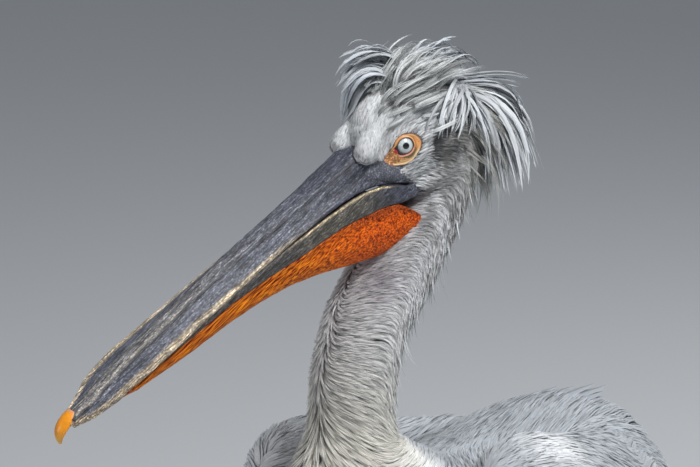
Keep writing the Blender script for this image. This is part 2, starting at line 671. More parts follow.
# Rolls of flesh on the left of the face: centre (a, b, c) and radius along each.
LOBE = ((-0.036, 0.008, -0.004, 0.015), (-0.024, 0.01, -0.0035, 0.0135), (-0.012, 0.013, -0.003, 0.012),
        (-0.003, 0.0148, -0.0025, 0.0108), (0.003, 0.0158, -0.0035, 0.0097))
LOBE_BACK = ((-0.026, 0.012, -0.006, 0.0115), (-0.016, 0.0145, -0.008, 0.0105),
             (-0.0067, 0.017, -0.0105, 0.0092))
LORE = ((0.016, 0.0112, -0.0215, 0.0085), (0.004, 0.014, -0.0265, 0.011), (-0.006, 0.0155, -0.0325, 0.0128),
        (-0.016, 0.0162, -0.04, 0.0138), (-0.027, 0.0158, -0.048, 0.0148))
JOWL = ((-0.024, 0.0165, -0.068, 0.009), (-0.036, 0.0165, -0.07, 0.0125), (-0.05, 0.016, -0.072, 0.015),
        (-0.066, 0.013, -0.074, 0.0165))
FOREHEAD = ((-0.055, 0.0, 0.006, 0.0165), (-0.039, 0.0, 0.0075, 0.0165), (-0.024, 0.0, 0.004, 0.0162),
            (-0.016, 0.0, 0.001, 0.014))
FAR_LOBE = np.array((1.0, 0.9, 1.0, 1.04))      # the right lobe is a little smaller than the left
CHEEK = ((-0.018, 0.017, -0.046, 0.006), (-0.026, 0.018, -0.047, 0.0105), (-0.036, 0.0175, -0.048, 0.0135),
         (-0.05, 0.016, -0.05, 0.0155), (-0.066, 0.013, -0.05, 0.017))


def mirrored(places, sign):
    """Head-frame places on the bird's left carried to the named side."""
    return places * np.array((1.0, sign, 1.0))


def roll_shell(path, sign):
    """A closed roll of flesh round a path of centres and radii."""
    line = curve_points(path, 4)
    ahead = unit(np.gradient(line[:, :3], axis=0))
    rows = [(line[0], -ahead[0], turn) for turn in np.linspace(1.5, 0.2, 6)]
    rows += [(row, way, 0.0) for row, way in zip(line, ahead)]
    rows += [(line[-1], ahead[-1], turn) for turn in np.linspace(0.2, 1.5, 6)]
    rings = []
    for row, way, turn in rows:
        side = unit(np.cross(way, (0.0, 0.0, 1.0)))
        radius = row[3] * cos(turn)
        ring = oval(row[:3] + way * row[3] * sin(turn), side, np.cross(side, way), radius, radius, 24)
        rings.append(head_point(mirrored(ring, sign)))
    return Form(rings).shell()


def taken(collection, name, kind, width):
    """An array of what a mesh has at each of its parts."""
    values = np.empty(len(collection) * width, dtype=kind)
    collection.foreach_get(name, values)
    return values.reshape(-1, width)


def fused(name, shells, voxel, rounds):
    """One closed mesh round several shells, evened out: its vertices and quads."""
    corners, totals, base = [], [], 0
    for points, faces in shells:
        for face in faces:
            corners.extend(index + base for index in face)
            totals.append(len(face))
        base += len(points)
    mesh = new_mesh(name, np.concatenate([shell[0] for shell in shells]), np.array(corners), totals)
    thing = in_scene(name, mesh)
    remesh = thing.modifiers.new("fuse", "REMESH")
    remesh.mode = "VOXEL"
    remesh.voxel_size = voxel
    graph = bpy.context.evaluated_depsgraph_get()
    result = bpy.data.meshes.new_from_object(thing.evaluated_get(graph))
    bpy.data.objects.remove(thing)
    bpy.data.meshes.remove(mesh)
    points = taken(result.vertices, "co", np.float32, 3).astype(float)
    edges = taken(result.edges, "vertices", np.int32, 2)
    quads = taken(result.loops, "vertex_index", np.int32, 1).reshape(-1, 4)
    bpy.data.meshes.remove(result)
    links = np.bincount(edges.ravel(), minlength=len(points))[:, None]
    for step in range(rounds * 2):
        total = np.zeros_like(points)
        for axis in range(3):
            for end, other in (edges.T, edges.T[::-1]):
                total[:, axis] += np.bincount(end, points[other, axis], len(points))
        points += (total / links - points) * (SMOOTH_IN if step % 2 == 0 else SMOOTH_OUT)
    return points, quads


def eye_place(points, sign):
    """World points in the eye's own frame: forward, over and out along the gaze."""
    local = mirrored(in_head(points), sign) - EYE
    return local @ EYE_FRONT, local @ EYE_OVER, local @ GAZE


def from_eye(front, over, out, sign):
    """World places from the eye's own frame."""
    local = EYE + np.multiply.outer(front, EYE_FRONT) + np.multiply.outer(over, EYE_OVER)
    return head_point(mirrored(local + np.multiply.outer(out, GAZE), sign))


def bare_share(points, sign):
    """0 at the middle of the eye to 1 at the edge of the bare skin round it, and beyond."""
    front, over, _ = eye_place(points, sign)
    return np.hypot(front, over) / (along(BARE, np.degrees(np.arctan2(over, front))) * 0.001)


def seat_level(reach):
    """How far out along the gaze the skin lies, at a distance from the gaze."""
    return 0.0088 - 0.0035 * ease(reach, 0.01, 0.016)


def seat_eyes(points):
    """Flatten the face round each eye, and sink a socket for the ball."""
    for _, sign in SIDES:
        front, over, out = eye_place(points, sign)
        reach = np.hypot(front, over)
        level = seat_level(reach)
        near = out > -0.004
        share = ease(reach, 0.03, -0.014) * near
        moved = from_eye(front, over, level, sign)
        points += (moved - points) * share[:, None]
        hollow = ease(reach, 0.0105, -0.003) * near
        points += (from_eye(front, over, level - SOCKET_DEPTH, sign) - moved) * (hollow * share)[:, None]
    return points


def face_line(a):
    """Height c of the lower edge of the face's feathers."""
    return along(FACE_EDGE, a)


def bare_face(places):
    """True where the head's skin is bare: in front of the gape and below the feathers' edge."""
    a, b, c = places.T
    return (a > -0.034) & (c < face_line(a)) & (c > -0.078) & (np.abs(b) > 0.01)


class Skin:
    """The whole skin, with what the coat needs to know at each of its vertices and faces."""

    def __init__(self, verts, quads):
        """Take the vertices and quads, and read the forms that the skin was made from."""
        self.verts, self.quads = verts, quads
        normals = np.cross(verts[quads[:, 2]] - verts[quads[:, 0]], verts[quads[:, 3]] - verts[quads[:, 1]])
        self.area = np.linalg.norm(normals, axis=1) / 2
        summed = np.zeros_like(verts)
        for corner in range(4):
            for axis in range(3):
                summed[:, axis] += np.bincount(quads[:, corner], normals[:, axis], len(verts))
        self.normals = unit(summed)
        self.tree = BVHTree.FromPolygons(verts.tolist(), quads.tolist())
        reads = [form.read(verts) for form in OUTER]
        self.part = np.argmin([read[0] for read in reads], axis=0)
        pick = (self.part, np.arange(len(verts)))
        self.where, self.turn, self.ahead, self.around = (
            np.array([read[column] for read in reads])[pick] for column in (1, 2, 3, 4))
        self.uv = unwrapped(self.part, self.where, self.turn)

    def nearest(self, points):
        """Places on the skin, smooth normals and face numbers."""
        hits = [self.tree.find_nearest(point) for point in points.tolist()]
        place, face = (np.array([hit[part] for hit in hits]) for part in (0, 2))
        return place, unit(self.normals[self.quads[face]].mean(axis=1)), face

    def uv_near(self, points):
        """Places on the unwrap of the skin under some points."""
        return self.uv[self.quads[self.nearest(points)[2], 0]]


def foot_rays(sign):
    """Lines out from the heel over toes, webs and heel pad: (direction, reach, sideways, height)."""
    rays = []
    tips = [np.array((outward * sign, -forward, 0.0)) for outward, forward, _ in TOES]
    for i, (_, _, height) in enumerate(TOES):
        length = np.linalg.norm(tips[i])
        ahead = tips[i] / length
        across = np.array((ahead[1], -ahead[0], 0.0)) * sign
        for lane in (1.0, 0.7, 0.35, 0.0, -0.35, -0.7, -1.0):
            tall = WEB_THICK + (height - WEB_THICK) * (1.0 - lane ** 2)
            rays.append((ahead, length * (1.0 - 0.05 * abs(lane)), across * lane * height * 0.5, tall))
        if i < len(TOES) - 1:
            span = (length + np.linalg.norm(tips[i + 1])) / 2
            for share, dip in ((0.18, 0.9), (0.34, 0.3), (0.5, 0.0), (0.66, 0.3), (0.82, 0.9)):
                way = unit(tips[i] * (1 - share) + tips[i + 1] * share)
                reach = span * (WEB_SCALLOP[i] + (0.93 - WEB_SCALLOP[i]) * dip)
                rays.append((way, reach, np.zeros(3), WEB_THICK))
    for angle in (55, 20, -20, -55):
        back = np.array((sin(radians(angle)) * sign, cos(radians(angle)), 0.0))
        rays.append((back, INSTEP_RADIUS + 0.004, np.zeros(3), WEB_THICK * 1.6))
    return rays


def foot_ring(heel, rays, share, top):
    """One ring of the foot, at a share of the way out over the rays, on top or on the sole."""
    points = []
    for ahead, reach, sideways, tall in rays:
        beyond = (reach - INSTEP_RADIUS) * share
        place = heel + ahead * (INSTEP_RADIUS + beyond) + sideways * min(1.0, beyond / FOOT_BLEND)
        toe = tall > WEB_THICK * 1.4
        joints = 1.0 + 0.1 * sin(beyond / 0.0042) * toe * (share < 0.97)
        taper = tall * (1.0 - 0.42 * smooth(share) * toe) * joints
        pad = (INSTEP - taper) * max(0.0, 1.0 - beyond / FOOT_BLEND) ** 1.5
        place[2] = taper + pad if top else 0.0
        points.append(place)
    return points


def foot_shell(sign):
    """Four webbed toes on one flat sole."""
    heel = np.array((HEEL[0] * sign, HEEL[1], 0.0)) + STAND
    rays = foot_rays(sign)
    rings = [foot_ring(heel, rays, share, False) for share in (0.0, 1.0)]
    for share in np.concatenate((np.linspace(1.0, 0.2, 22), (0.14, 0.08, 0.0))):
        rings.append(foot_ring(heel, rays, share, True))
    if sign > 0:
        rings = [ring[::-1] for ring in rings]
    return Form(rings).shell()


def skin_tint(skin, leg_count):
    """Down-pale skin under the coat, slate on the bare face, orange round the eyes, lead grey on the legs."""
    tint = np.tile(DOWN, (len(skin.verts), 1))
    head = (skin.part == BODY) & (skin.where < 5.0)
    tint[head & bare_face(in_head(skin.verts))] = SKIN_GREY
    for _, sign in SIDES:
        ring = bare_share(skin.verts, sign)
        outside = eye_place(skin.verts, sign)[2] > 0.0
        tint[head & (ring < 1.25) & outside] = SKIN_GREY
        tint[head & (ring < 0.97) & outside] = LID_ORANGE
    tint[-leg_count:] = LEG_GREY
    return tint


def make_skin():
    """One skin for head, neck, trunk, wings, thighs and legs."""
    shells = [form.shell() for form in make_forms(1.0)] + [roll_shell(FOREHEAD, 1.0)]
    legs = []
    for _, sign in SIDES:
        near = FAR_LOBE ** (sign < 0)
        shells += [roll_shell(np.array(path) * near, sign) for path in (LOBE, LOBE_BACK)]
        shells += [roll_shell(path, sign) for path in (LORE, CHEEK, JOWL)]
        rings = limb_rings(SHANK_ROWS, sign, 0.0003, 20)
        rings.append(rings[-1].copy())
        rings[-1][:, 2] = INSTEP - 0.006
        legs += [Form(rings).shell(), foot_shell(sign)]
    verts, quads = fused("skin_shells", shells, SKIN_VOXEL, 4)
    verts = seat_eyes(verts)
    leg_verts, leg_quads = fused("leg_shells", legs, LEG_VOXEL, 2)
    leg_verts[:, 2] = np.maximum(leg_verts[:, 2], 0.0)
    whole = Skin(np.concatenate((verts, leg_verts)), np.concatenate((quads, leg_quads + len(verts))))
    corners = whole.quads.ravel()
    mesh = new_mesh("skin", whole.verts, corners, np.full(len(whole.quads), 4))
    put_unwrap(mesh, whole.uv, corners)
    put_tint(mesh, skin_tint(whole, len(leg_verts)))
    nodes = ["head", "neck_upper", "neck_middle", "neck_lower", "trunk"]
    nodes += [part + side for side, _ in SIDES for part in ("wing_", "thigh_", "shank_", "foot_")]
    placed("skin", mesh, SKIN, nodes)
    return Skin(verts, quads)


BODY_SKIN = make_skin()


# ---------------------------------------------------------------- which way the feathers lie
PARTING = (                     # how far the neck's parting lies to the right of the throat, by row
    (6.5, 0.0), (7.5, 0.095), (9.5, 0.09), (11.5, 0.07), (13.0, 0.065), (16.0, 0.0))
SWEEP = (                       # degrees off straight back at which the neck's feathers lie, by row
    (6, 24), (7, 92), (8, 114), (9, 126), (10, 128), (11, 112), (12, 80), (13, 46), (14, 24), (15, 8))


def ripple(points, scale, seed):
    """Slow random sway of the lie."""
    return noise(points, scale, seed) + 0.5 * noise(points, scale * 0.45, seed + 3)


def lie_of(skin, face, points):
    """Directions in which the feathers lie at places on the skin."""
    corner = skin.quads[face, 0]
    part, where, turn = skin.part[corner], skin.where[corner], skin.turn[corner]
    turn = turn - along(PARTING, where)
    side = np.abs(2.0 * turn - 1.0).clip(0, 1)      # 0 at the parting, 1 at the crest line
    towards_crest = np.where(turn < 0.5, -1.0, 1.0)[:, None] * skin.around[corner]
    # The head: back along the bill's line, rising on forehead and lobes.
    rise = np.interp(where, (0, 2.5, 4.5, 6), (50, 34, 10, 6)) * np.sin(pi * np.clip(side, 0, 1))
    # The neck: from the front line nearly straight round the sides, and down again at the nape.
    nape = ease(side, 0.4, 0.26) * ease(where, 5.5, 1.0) * (1.0 - ease(where, 12.0, 1.5))
    sweep = along(SWEEP, where) * smooth(side / 0.13)
    sweep = sweep * (1.0 - 0.5 * ease(side, 0.62, 0.35)) * (1.0 - 0.92 * nape)
    # The mantle fans up over the shoulders.
    drape = 66.0 * ease(where, 12.8, 0.8) * (1 - ease(where, 16.4, 2.6)) * ease(side, 0.4, 0.14)
    drape = drape * (1.0 - ease(side, 0.86, 0.12))
    angle = np.where(where < 6.0, rise, sweep) + drape
    angle = np.radians(angle + ripple(points, 0.035, 5) * np.interp(where, (0, 5, 8, 14), (6, 12, 15, 7)))
    body = skin.ahead[corner] * np.cos(angle)[:, None] + towards_crest * np.sin(angle)[:, None]
    # The wings and thighs: back and down.
    fall = 0.24 + 0.95 * ease(where, 0.09, 0.14) * hill((turn, 0.12, 0.13))
    fall = fall * (1.0 - 0.6 * ease(where, 0.32, 0.14))
    wing = np.array((0.0, 1.0, 0.0)) - np.outer(fall + ripple(points, 0.06, 9) * 0.08, (0, 0, 1))
    thigh = np.tile((0.0, 0.35, -1.0), (len(face), 1))
    way = np.where((part == BODY)[:, None], body, np.where((part >= THIGH_L)[:, None], thigh, wing))
    return flat_to(way, skin.normals[corner])


def track(skin, roots, way, lengths, stations):
    """Midlines over the skin from roots: places and normals at even shares of the lengths."""
    place, up, _ = skin.nearest(roots)
    lines, ups = [place], [up]
    for _ in range(stations):
        way = flat_to(way, up)
        place, up, face = skin.nearest(place + way * (lengths / stations)[:, None])
        way = unit(way * 0.5 + lie_of(skin, face, place) * 0.5)
        lines.append(place)
        ups.append(up)
    return np.stack(lines, axis=1), np.stack(ups, axis=1)


def scattered(skin, chosen, spacing):
    """Root places spread evenly over chosen faces: points and face numbers."""
    faces = np.flatnonzero(chosen)
    corner = skin.quads[faces, 0]
    strip = np.floor(skin.uv[corner, 0] / 0.004)
    order = np.lexsort((skin.turn[corner] * np.where(strip % 2 == 0, 1.0, -1.0), strip, skin.part[corner]))
    faces = faces[order]
    reach = np.cumsum(skin.area[faces] / spacing[faces] ** 2)
    picks = np.searchsorted(reach, np.arange(int(reach[-1])) + RNG.random(int(reach[-1])) * 0.6)
    face = faces[np.minimum(picks, len(faces) - 1)]
    corners = skin.verts[skin.quads[face]]
    x, y = (RNG.random((len(face), 2)).T)[..., None]
    low = corners[:, 0] * (1 - x) + corners[:, 1] * x
    high = corners[:, 3] * (1 - x) + corners[:, 2] * x
    return low * (1 - y) + high * y, face


# ---------------------------------------------------------------- feathers
def strip_faces(stations):
    """Faces of one strip: a quad between stations and a triangle at the tip."""
    faces = [(2 * j, 2 * j + 1, 2 * j + 3, 2 * j + 2) for j in range(stations - 1)]
    faces.append((2 * stations - 2, 2 * stations - 1, 2 * stations))
    return faces


def uv_patch(lanes, share):
    """A feather's own small patch of the unwrap, round the place of its root."""
    return np.stack(np.meshgrid(lanes * UV_HALF, share * 2 * UV_HALF - UV_HALF), axis=-1).reshape(-1, 2)


def tufts(lines, ups, spread, strand, strands, tint, uv, core=0.0, ragged=0.3, fan=0.5, flat=0.6, streak=0.35,
          shaft=0.0):
    """Split midlines into tufts of fine strips that draw together towards the tip.

    lines, ups: (tuft, station, 3); spread, strand: half widths of the tuft and of one strip;
    tint: (tuft, station, 3).  Returns vertices, unwrap places and colours for each strip.
    """
    count, stations = lines.shape[0], lines.shape[1] - 1
    sides = unit(np.cross(ups, unit(np.gradient(lines, axis=1))))
    share = np.linspace(0.0, 1.0, stations + 1)
    gather = 0.75 + 0.6 * share - (1.35 - fan) * share ** 1.7
    rows = np.arange(count)[:, None]
    patch = uv_patch(np.array((-1.0, 1.0)), share)[:-1]
    verts, tints = [], []
    for k in range(strands):
        offset = (2.0 * (k + 0.5) / strands - 1.0) + RNG.uniform(-0.35, 0.35, count)
        length = 1.0 - ragged * RNG.random(count) * (0.4 + 0.6 * np.abs(offset))
        width = strand * RNG.uniform(0.65, 1.25, count)
        shape = np.interp(share, (0, 0.25, 0.7, 1.0), (0.55, 1.0, 0.8, 0.0))
        if core and k == 0:
            offset, length, width = offset * 0.0, length * 0 + 0.97, spread * core
            shape = np.interp(share, (0, 0.3, 0.7, 0.9, 1.0), (0.4, 1.0, 0.95, 0.55, 0.0))
        spot = share[None, :] * length[:, None] * stations
        low = np.minimum(spot.astype(int), stations - 1)
        part = (spot - low)[..., None]
        middle, side, up, colour = (values[rows, low] * (1 - part) + values[rows, low + 1] * part
                                    for values in (lines, sides, ups, tint))
        reach = spread[:, None] * np.interp(spot / stations, share, gather)
        lift = spread * RNG.uniform(-0.15, 0.35, count)
        middle = middle + side * (offset[:, None] * reach)[..., None]
        middle = middle + up * (lift[:, None] * share)[..., None]
        roll = RNG.uniform(-flat, flat, count)[:, None, None]
        half = (width[:, None] * shape)[..., None] * (side * np.cos(roll) + up * np.sin(roll))
        verts.append(np.stack((middle - half, middle + half), axis=2).reshape(count, -1, 3)[:, :-1])
        colour = colour * (1.0 - streak * RNG.random(count) ** 2)[:, None, None]
        if shaft and k == strands - 1:
            colour = np.where((RNG.random(count) < shaft)[:, None, None], colour * 0.3, colour)
        tints.append(np.repeat(colour, 2, axis=1)[:, :-1])
    return np.concatenate(verts), np.tile(uv[:, None, :] + patch, (strands, 1, 1)), np.concatenate(tints)


def marking(skin, face, points):
    """The plumage's colour at places on the skin."""
    corner = skin.quads[face, 0]
    part, where, turn = skin.part[corner], skin.where[corner], skin.turn[corner]
    fold = 1.0 - 2.0 * np.abs(turn - 0.5)       # 0 at the crest line, 1 at the throat
    body = part == BODY
    head = (where < 6.5) * body
    a, _, c = in_head(points).T

    def uneven(level, swing, scale, seed):
        """A level with noise on it."""
        return level + swing * noise(points, scale, seed)

    warm = hill((where, 13.0, 1.5)) * ease(fold, 0.1, 0.5) * body
    throat = hill((where, 10.4, 0.4), (turn, 0.45, 0.07)) * body
    ruffle = ease(noise(points, 0.006, 71), -0.05, 0.22) * hill((where, 8.0, 1.5)) * body
    cool = ease(where, 6.8, 1.0) * (1 - ease(where, 11.0, 1.5)) * ease(fold, 0.45, 0.4) * body
    back = ease(where, 11.7, 1.3) * ease(fold, 0.48, -0.2) * body
    streak = hill((a, -0.067, 0.017), (c, -0.044, 0.019)) * head
    streak = np.maximum(streak, 0.95 * hill((a, -0.086, 0.017), (c, -0.04, 0.022)) * head)
    brow = 0.9 * hill((a, -0.064, 0.022), (c - 0.003, (a + 0.064) * 0.5, 0.007)) * head
    fleck = ease(noise(points, 0.0018, 44), 0.22, 0.25) * (where < 12.5) * body
    olive = hill((a, -0.1, 0.022), (c, -0.085, 0.03)) * (where < 7.5) * body
    nape = ease(where, 4.2, 0.8) * (1 - ease(where, 6.6, 1.2)) * ease(fold, 0.2, 0.3) * body
    wing = (part == WING_L) | (part == WING_R)
    above = wing * ease(np.abs((turn - 0.04 + 0.5) % 1.0 - 0.5), 0.32, -0.12)
    bulge = hill((where, 0.105, 0.045), (turn, 0.085, 0.075))
    bulge = np.where(part == WING_R, hill((where, 0.035, 0.05)), bulge)
    tint = painted(
        np.tile(WHITE, (len(face), 1)),
        (WARM, warm * 0.9),
        (LILAC, (throat * uneven(0.8, 0.8, 0.004, 21)).clip(0, 0.85)),
        ((0.13, 0.13, 0.125), ruffle * 0.7),
        ((0.6, 0.59, 0.61), cool * 0.35),
        (SLATE_WHITE, back * 0.92),
        (DUSK, 0.94 * ease(streak * uneven(1.0, 0.6, 0.0026, 4), 0.2, 0.18)),
        (DUSK, 0.9 * ease(brow * uneven(1.0, 0.85, 0.0022, 6), 0.3, 0.25)),
        ((0.22, 0.22, 0.23), fleck * np.interp(where, (0, 2, 3.5, 6, 12.5), (0.15, 0.3, 0.8, 0.6, 0.45))),
        ((0.36, 0.36, 0.31), (olive * uneven(0.7, 0.7, 0.004, 14)).clip(0, 0.85)),
        ((0.42, 0.41, 0.39), (nape * uneven(0.45, 0.5, 0.01, 8)).clip(0, 0.8)),
        (SLATE_WHITE, above * (1.0 - 0.95 * bulge) * 0.88),
        (SILVER, wing * ease(where, 0.34, 0.16) * (1.0 - above) * 0.8),
        (QUILL, wing * ease(where - 0.46, 0.07 * above, 0.07) * 0.9),
    )
    return tint * uneven(1.0, 0.05, 0.025, 2)[:, None]


def shaded(tint, stations, root, reach=0.55):
    """Colour along each tuft: darker where it is rooted."""
    share = np.linspace(0.0, 1.0, stations + 1)
    return tint[:, None, :] * (root + (1.0 - root) * smooth(share / reach))[None, :, None]


def at_row(skin, corner, table, wing, thigh):
    """Read a table along the body, with one value for the wings and one for the thighs."""
    value = along(table, skin.where[corner])
    part = skin.part[corner]
    return np.where(part >= THIGH_L, thigh, np.where(part == BODY, value, wing))


def grow(name, chosen, strands, stations, cover, lift, root, fan, shaft, longer, streak):
    """Cover chosen faces of the skin with tufts; `cover` is how many layers deep they lie."""
    skin = BODY_SKIN
    every = skin.quads[:, 0]
    length = at_row(skin, every, LENGTH, 0.036, 0.026) * longer
    spread = at_row(skin, every, SPREAD, 0.0042, 0.0035)
    roots, face = scattered(skin, chosen, np.sqrt(length * spread * 2.0 / cover))
    corner = skin.quads[face, 0]
    size = length[face] * RNG.uniform(0.75, 1.15, len(face))
    way = spun(lie_of(skin, face, roots), skin.normals[corner], RNG.normal(0.0, 0.1, len(face)))
    lines, ups = track(skin, roots, way, size, stations)
    share = np.linspace(0.0, 1.0, stations + 1)
    uneven = at_row(skin, corner, ((0, 0.3), (12, 0.3), (15, 0.12)), 0.06, 0.25)
    depth = at_row(skin, corner, DEPTH, WING_COAT, 0.008) * (1.03 - uneven * RNG.random(len(face)))
    base = at_row(skin, corner, ((0, 0.0), (12, 0.0), (15, 0.45)), 0.6, 0.0)
    wing_front = np.isin(skin.part[corner], (WING_L, WING_R)) & (skin.where[corner] < 0.06)
    base = np.where(wing_front, 0.0, base)[:, None]
    height = depth[:, None] * (base + (1.0 - base) * (share ** 0.85)[None, :])
    loose = lift * RNG.random(len(face)) ** 3 * size
    lines = lines + ups * (height + loose[:, None] * share ** 2)[..., None]
    tint = shaded(marking(skin, face, roots), stations, root)
    tint = tint * (1.0 - 0.22 * RNG.random(len(face)) ** 2)[:, None, None]
    strand = at_row(skin, corner, STRAND, 0.0013, 0.0009)
    verts, uv, tints = tufts(lines, ups, spread[face], strand, strands, tint, skin.uv[corner], fan=fan,
                             shaft=shaft, streak=streak, flat=0.25 if root > 0.85 else 0.6)
    strip_piece(name, verts, strip_faces(stations), uv, tints, PLUME)


FACE_END, HEAD_END, UPPER_NECK_END, LOWER_NECK_END, MANTLE_END = 3.2, 6.4, 9.8, 13.2, 18.0      # rows
NAPE_START, NAPE_END = 4.4, 11.5                # rows
NAPE_SIDE, BACK_SIDE = 0.52, 0.42               # from 0 at the throat to 1 at the crest line
WING_FRONT_END = 0.04                           # length Y


def coat_regions():
    """Faces of the skin by region, with the bare places left out, and how the coat grows there."""
    skin = BODY_SKIN
    corner = skin.quads[:, 0]
    part, where, turn = skin.part[corner], skin.where[corner], skin.turn[corner]
    middle = skin.verts[skin.quads].mean(axis=1)
    places = in_head(middle)
    head = (part == BODY) & (where < 6.0)
    keep = ~(head & bare_face(places))
    for _, sign in SIDES:
        front, over, out = eye_place(middle, sign)
        ahead = ease(front / np.hypot(front, over), 0.35, 0.3) * (over < 0.004)
        keep &= ~(head & (bare_share(middle, sign) < 0.98 + 0.16 * ahead) & (out > 0.0))
    keep &= ~(head & (places[:, 0] > -0.004) & (places[:, 2] < face_line(places[:, 0])))
    body = (part == BODY) & keep
    side = 2.0 * np.abs(turn - 0.5)
    face = body & (where < FACE_END)
    crown = body & (where >= FACE_END) & (where < HEAD_END)
    neck = body & (where >= HEAD_END) & (where < UPPER_NECK_END)
    lower = body & (where >= UPPER_NECK_END) & (where < LOWER_NECK_END)
    nape = body & (where >= NAPE_START) & (where < NAPE_END) & (side > NAPE_SIDE)
    breast = body & (where >= LOWER_NECK_END) & (side < BACK_SIDE)
    back = body & (where >= LOWER_NECK_END) & (side >= BACK_SIDE)
    fronts = np.isin(part, (WING_L, WING_R)) & (where < WING_FRONT_END)
    # Name, faces, strands, stations, layers, loose tips, root's shade, fan, dark shafts, length, streaks.
    return (
        ("coat_face", face, 4, 3, 5.5, 0.02, 0.8, 0.4, 0.0, 1.0, 0.28),
        ("coat_head", crown, 5, 4, 6.5, 0.12, 0.55, 0.5, 0.0, 1.0, 0.5),
        ("coat_nape", nape, 5, 5, 2.2, 0.6, 0.6, 0.3, 0.0, 1.9, 0.35),
        ("coat_neck_left", neck & (turn < 0.5), 4, 3, 9.0, 0.05, 0.55, 0.7, 0.0, 1.0, 0.4),
        ("coat_neck_right", neck & (turn >= 0.5), 4, 3, 9.0, 0.05, 0.55, 0.7, 0.0, 1.0, 0.4),
        ("coat_neck_lower", lower, 4, 4, 9.0, 0.05, 0.58, 0.7, 0.0, 1.0, 0.3),
        ("coat_breast", breast, 5, 4, 6.0, 0.03, 0.65, 0.5, 0.1, 1.0, 0.3),
        ("coat_mantle", back & (where < MANTLE_END), 6, 5, 12.0, 0.02, 0.9, 0.6, 0.6, 0.9, 0.16),
        ("coat_rump", back & (where >= MANTLE_END), 5, 4, 7.0, 0.02, 0.88, 0.6, 0.3, 1.0, 0.16),
        ("coat_wing_left", part == WING_L, 5, 4, 8.0, 0.0, 0.98, 0.9, 0.02, 1.0, 0.08),
        ("coat_wing_right", part == WING_R, 5, 4, 8.0, 0.0, 0.98, 0.9, 0.02, 1.0, 0.08),
        ("coat_wing_fronts", fronts, 5, 4, 22.0, 0.04, 0.92, 0.9, 0.15, 0.75, 0.14),
        ("coat_thighs", part >= THIGH_L, 5, 3, 6.0, 0.05, 0.65, 0.4, 0.0, 1.0, 0.3),
    )


for REGION in coat_regions():
    grow(*REGION)


# ---------------------------------------------------------------- crest
CREST_HEART = np.array((-0.09, 0.0, -0.06))     # the crest's feathers face away from here
CREST_LOCKS = (                 # mm: root, middle, tip as (a, b, c), half width; feathers, half width of one
    (-84, -2, 14, -70.8, -10, 55, -49.4, -16, 65, 2.4, 8, 2),
    (-80, -2, 16, -68.2, -12, 52, -36.7, -20, 62, 4, 11, 3.4),
    (-76, -3, 17, -57.8, -16, 51.3, -23.4, -24, 47.8, 4.5, 12, 3.6),
    (-72, -3, 18, -50.4, -16, 47.2, -26.8, -24, 29.4, 4, 11, 3.4),
    (-70, -4, 18, -43, -17, 44, -14, -27, -1, 4, 20, 3.8),
    (-66, -4, 18, -47.3, -16, 36, -18, -25, 1, 4, 16, 3.6),
    (-62, -2, 19, -49.6, -12, 31, -32.4, -18, 13.2, 4, 12, 2.6),
    (-82, 0, 14, -89.6, 0, 40.9, -93, 0, 40, 0.5, 2, 1.2),
    (-84, 2, 14, -106.9, 2, 30, -127.1, 2, 15, 3, 7, 1.8),
    (-90, 2, 10, -128.1, 2, 18, -146.9, 2, -5, 3, 7, 1.8),
    (-96, 4, 4, -144, 4, -1, -159.9, 4, -39.9, 3, 7, 1.8),
    (-104, 6, -6, -145, 6, -13, -157.4, 6, -46, 3, 8, 1.8),
    (-100, 2, 2, -127.4, 2, 20.4, -152.9, 2, 7.1, 1, 3, 1.8),
    (-114, 6, -20, -175, 5, -65, -211.9, 5, -103.6, 1.6, 6, 2.2),
    (-116, 8, -22, -170, 6, -74, -187.3, 2, -135.8, 4.5, 12, 2.6),
)
SIDE_LOCKS = (                  # the same for locks that both sides of the head have
    (-120, 18, -24, -80.7, 34, -11, -54.6, 35, -24.1, 4, 5, 2),
    (-120, 18, -26, -86, 36, -18.8, -63.7, 37, -33.3, 4.2, 6, 2.1),
    (-120, 19, -26, -91.4, 37, -21.7, -71.3, 38, -36.2, 4.2, 6, 2.1),
    (-120, 19, -28, -93.6, 38, -29.1, -81.8, 39, -37.7, 4.2, 5, 2),
    (-120, 20, -28, -97.3, 39, -35.8, -79.4, 40, -50.4, 4.4, 7, 2.1),
    (-122, 20, -30, -109.8, 39, -43, -97.2, 40, -63.3, 4.4, 7, 2.1),
    (-122, 20, -34, -122, 37, -57.2, -115.1, 40, -91.8, 5, 8, 2.2),
    (-116, 10, -24, -178, 10, -92, -180.4, 8, -164, 5.5, 15, 4.2),
    (-117, 12, -26, -173, 14, -109.1, -180, 10, -201, 4, 11, 4.2),
    (-117, 14, -28, -160, 18, -104.9, -156, 14, -193, 6, 17, 4.4),
    (-117, 16, -30, -148.3, 22, -97.8, -142, 18, -180, 6, 17, 4.4),
    (-116, 17, -30, -138.6, 26, -88.5, -130, 20, -178, 6, 19, 4.2),
    (-116, 18, -32, -129.6, 30, -83, -115.6, 26, -155.5, 5.5, 16, 3.6),
    (-116, 20, -34, -119.8, 34, -68.9, -108, 31, -131.2, 5.5, 14, 2.8),
)
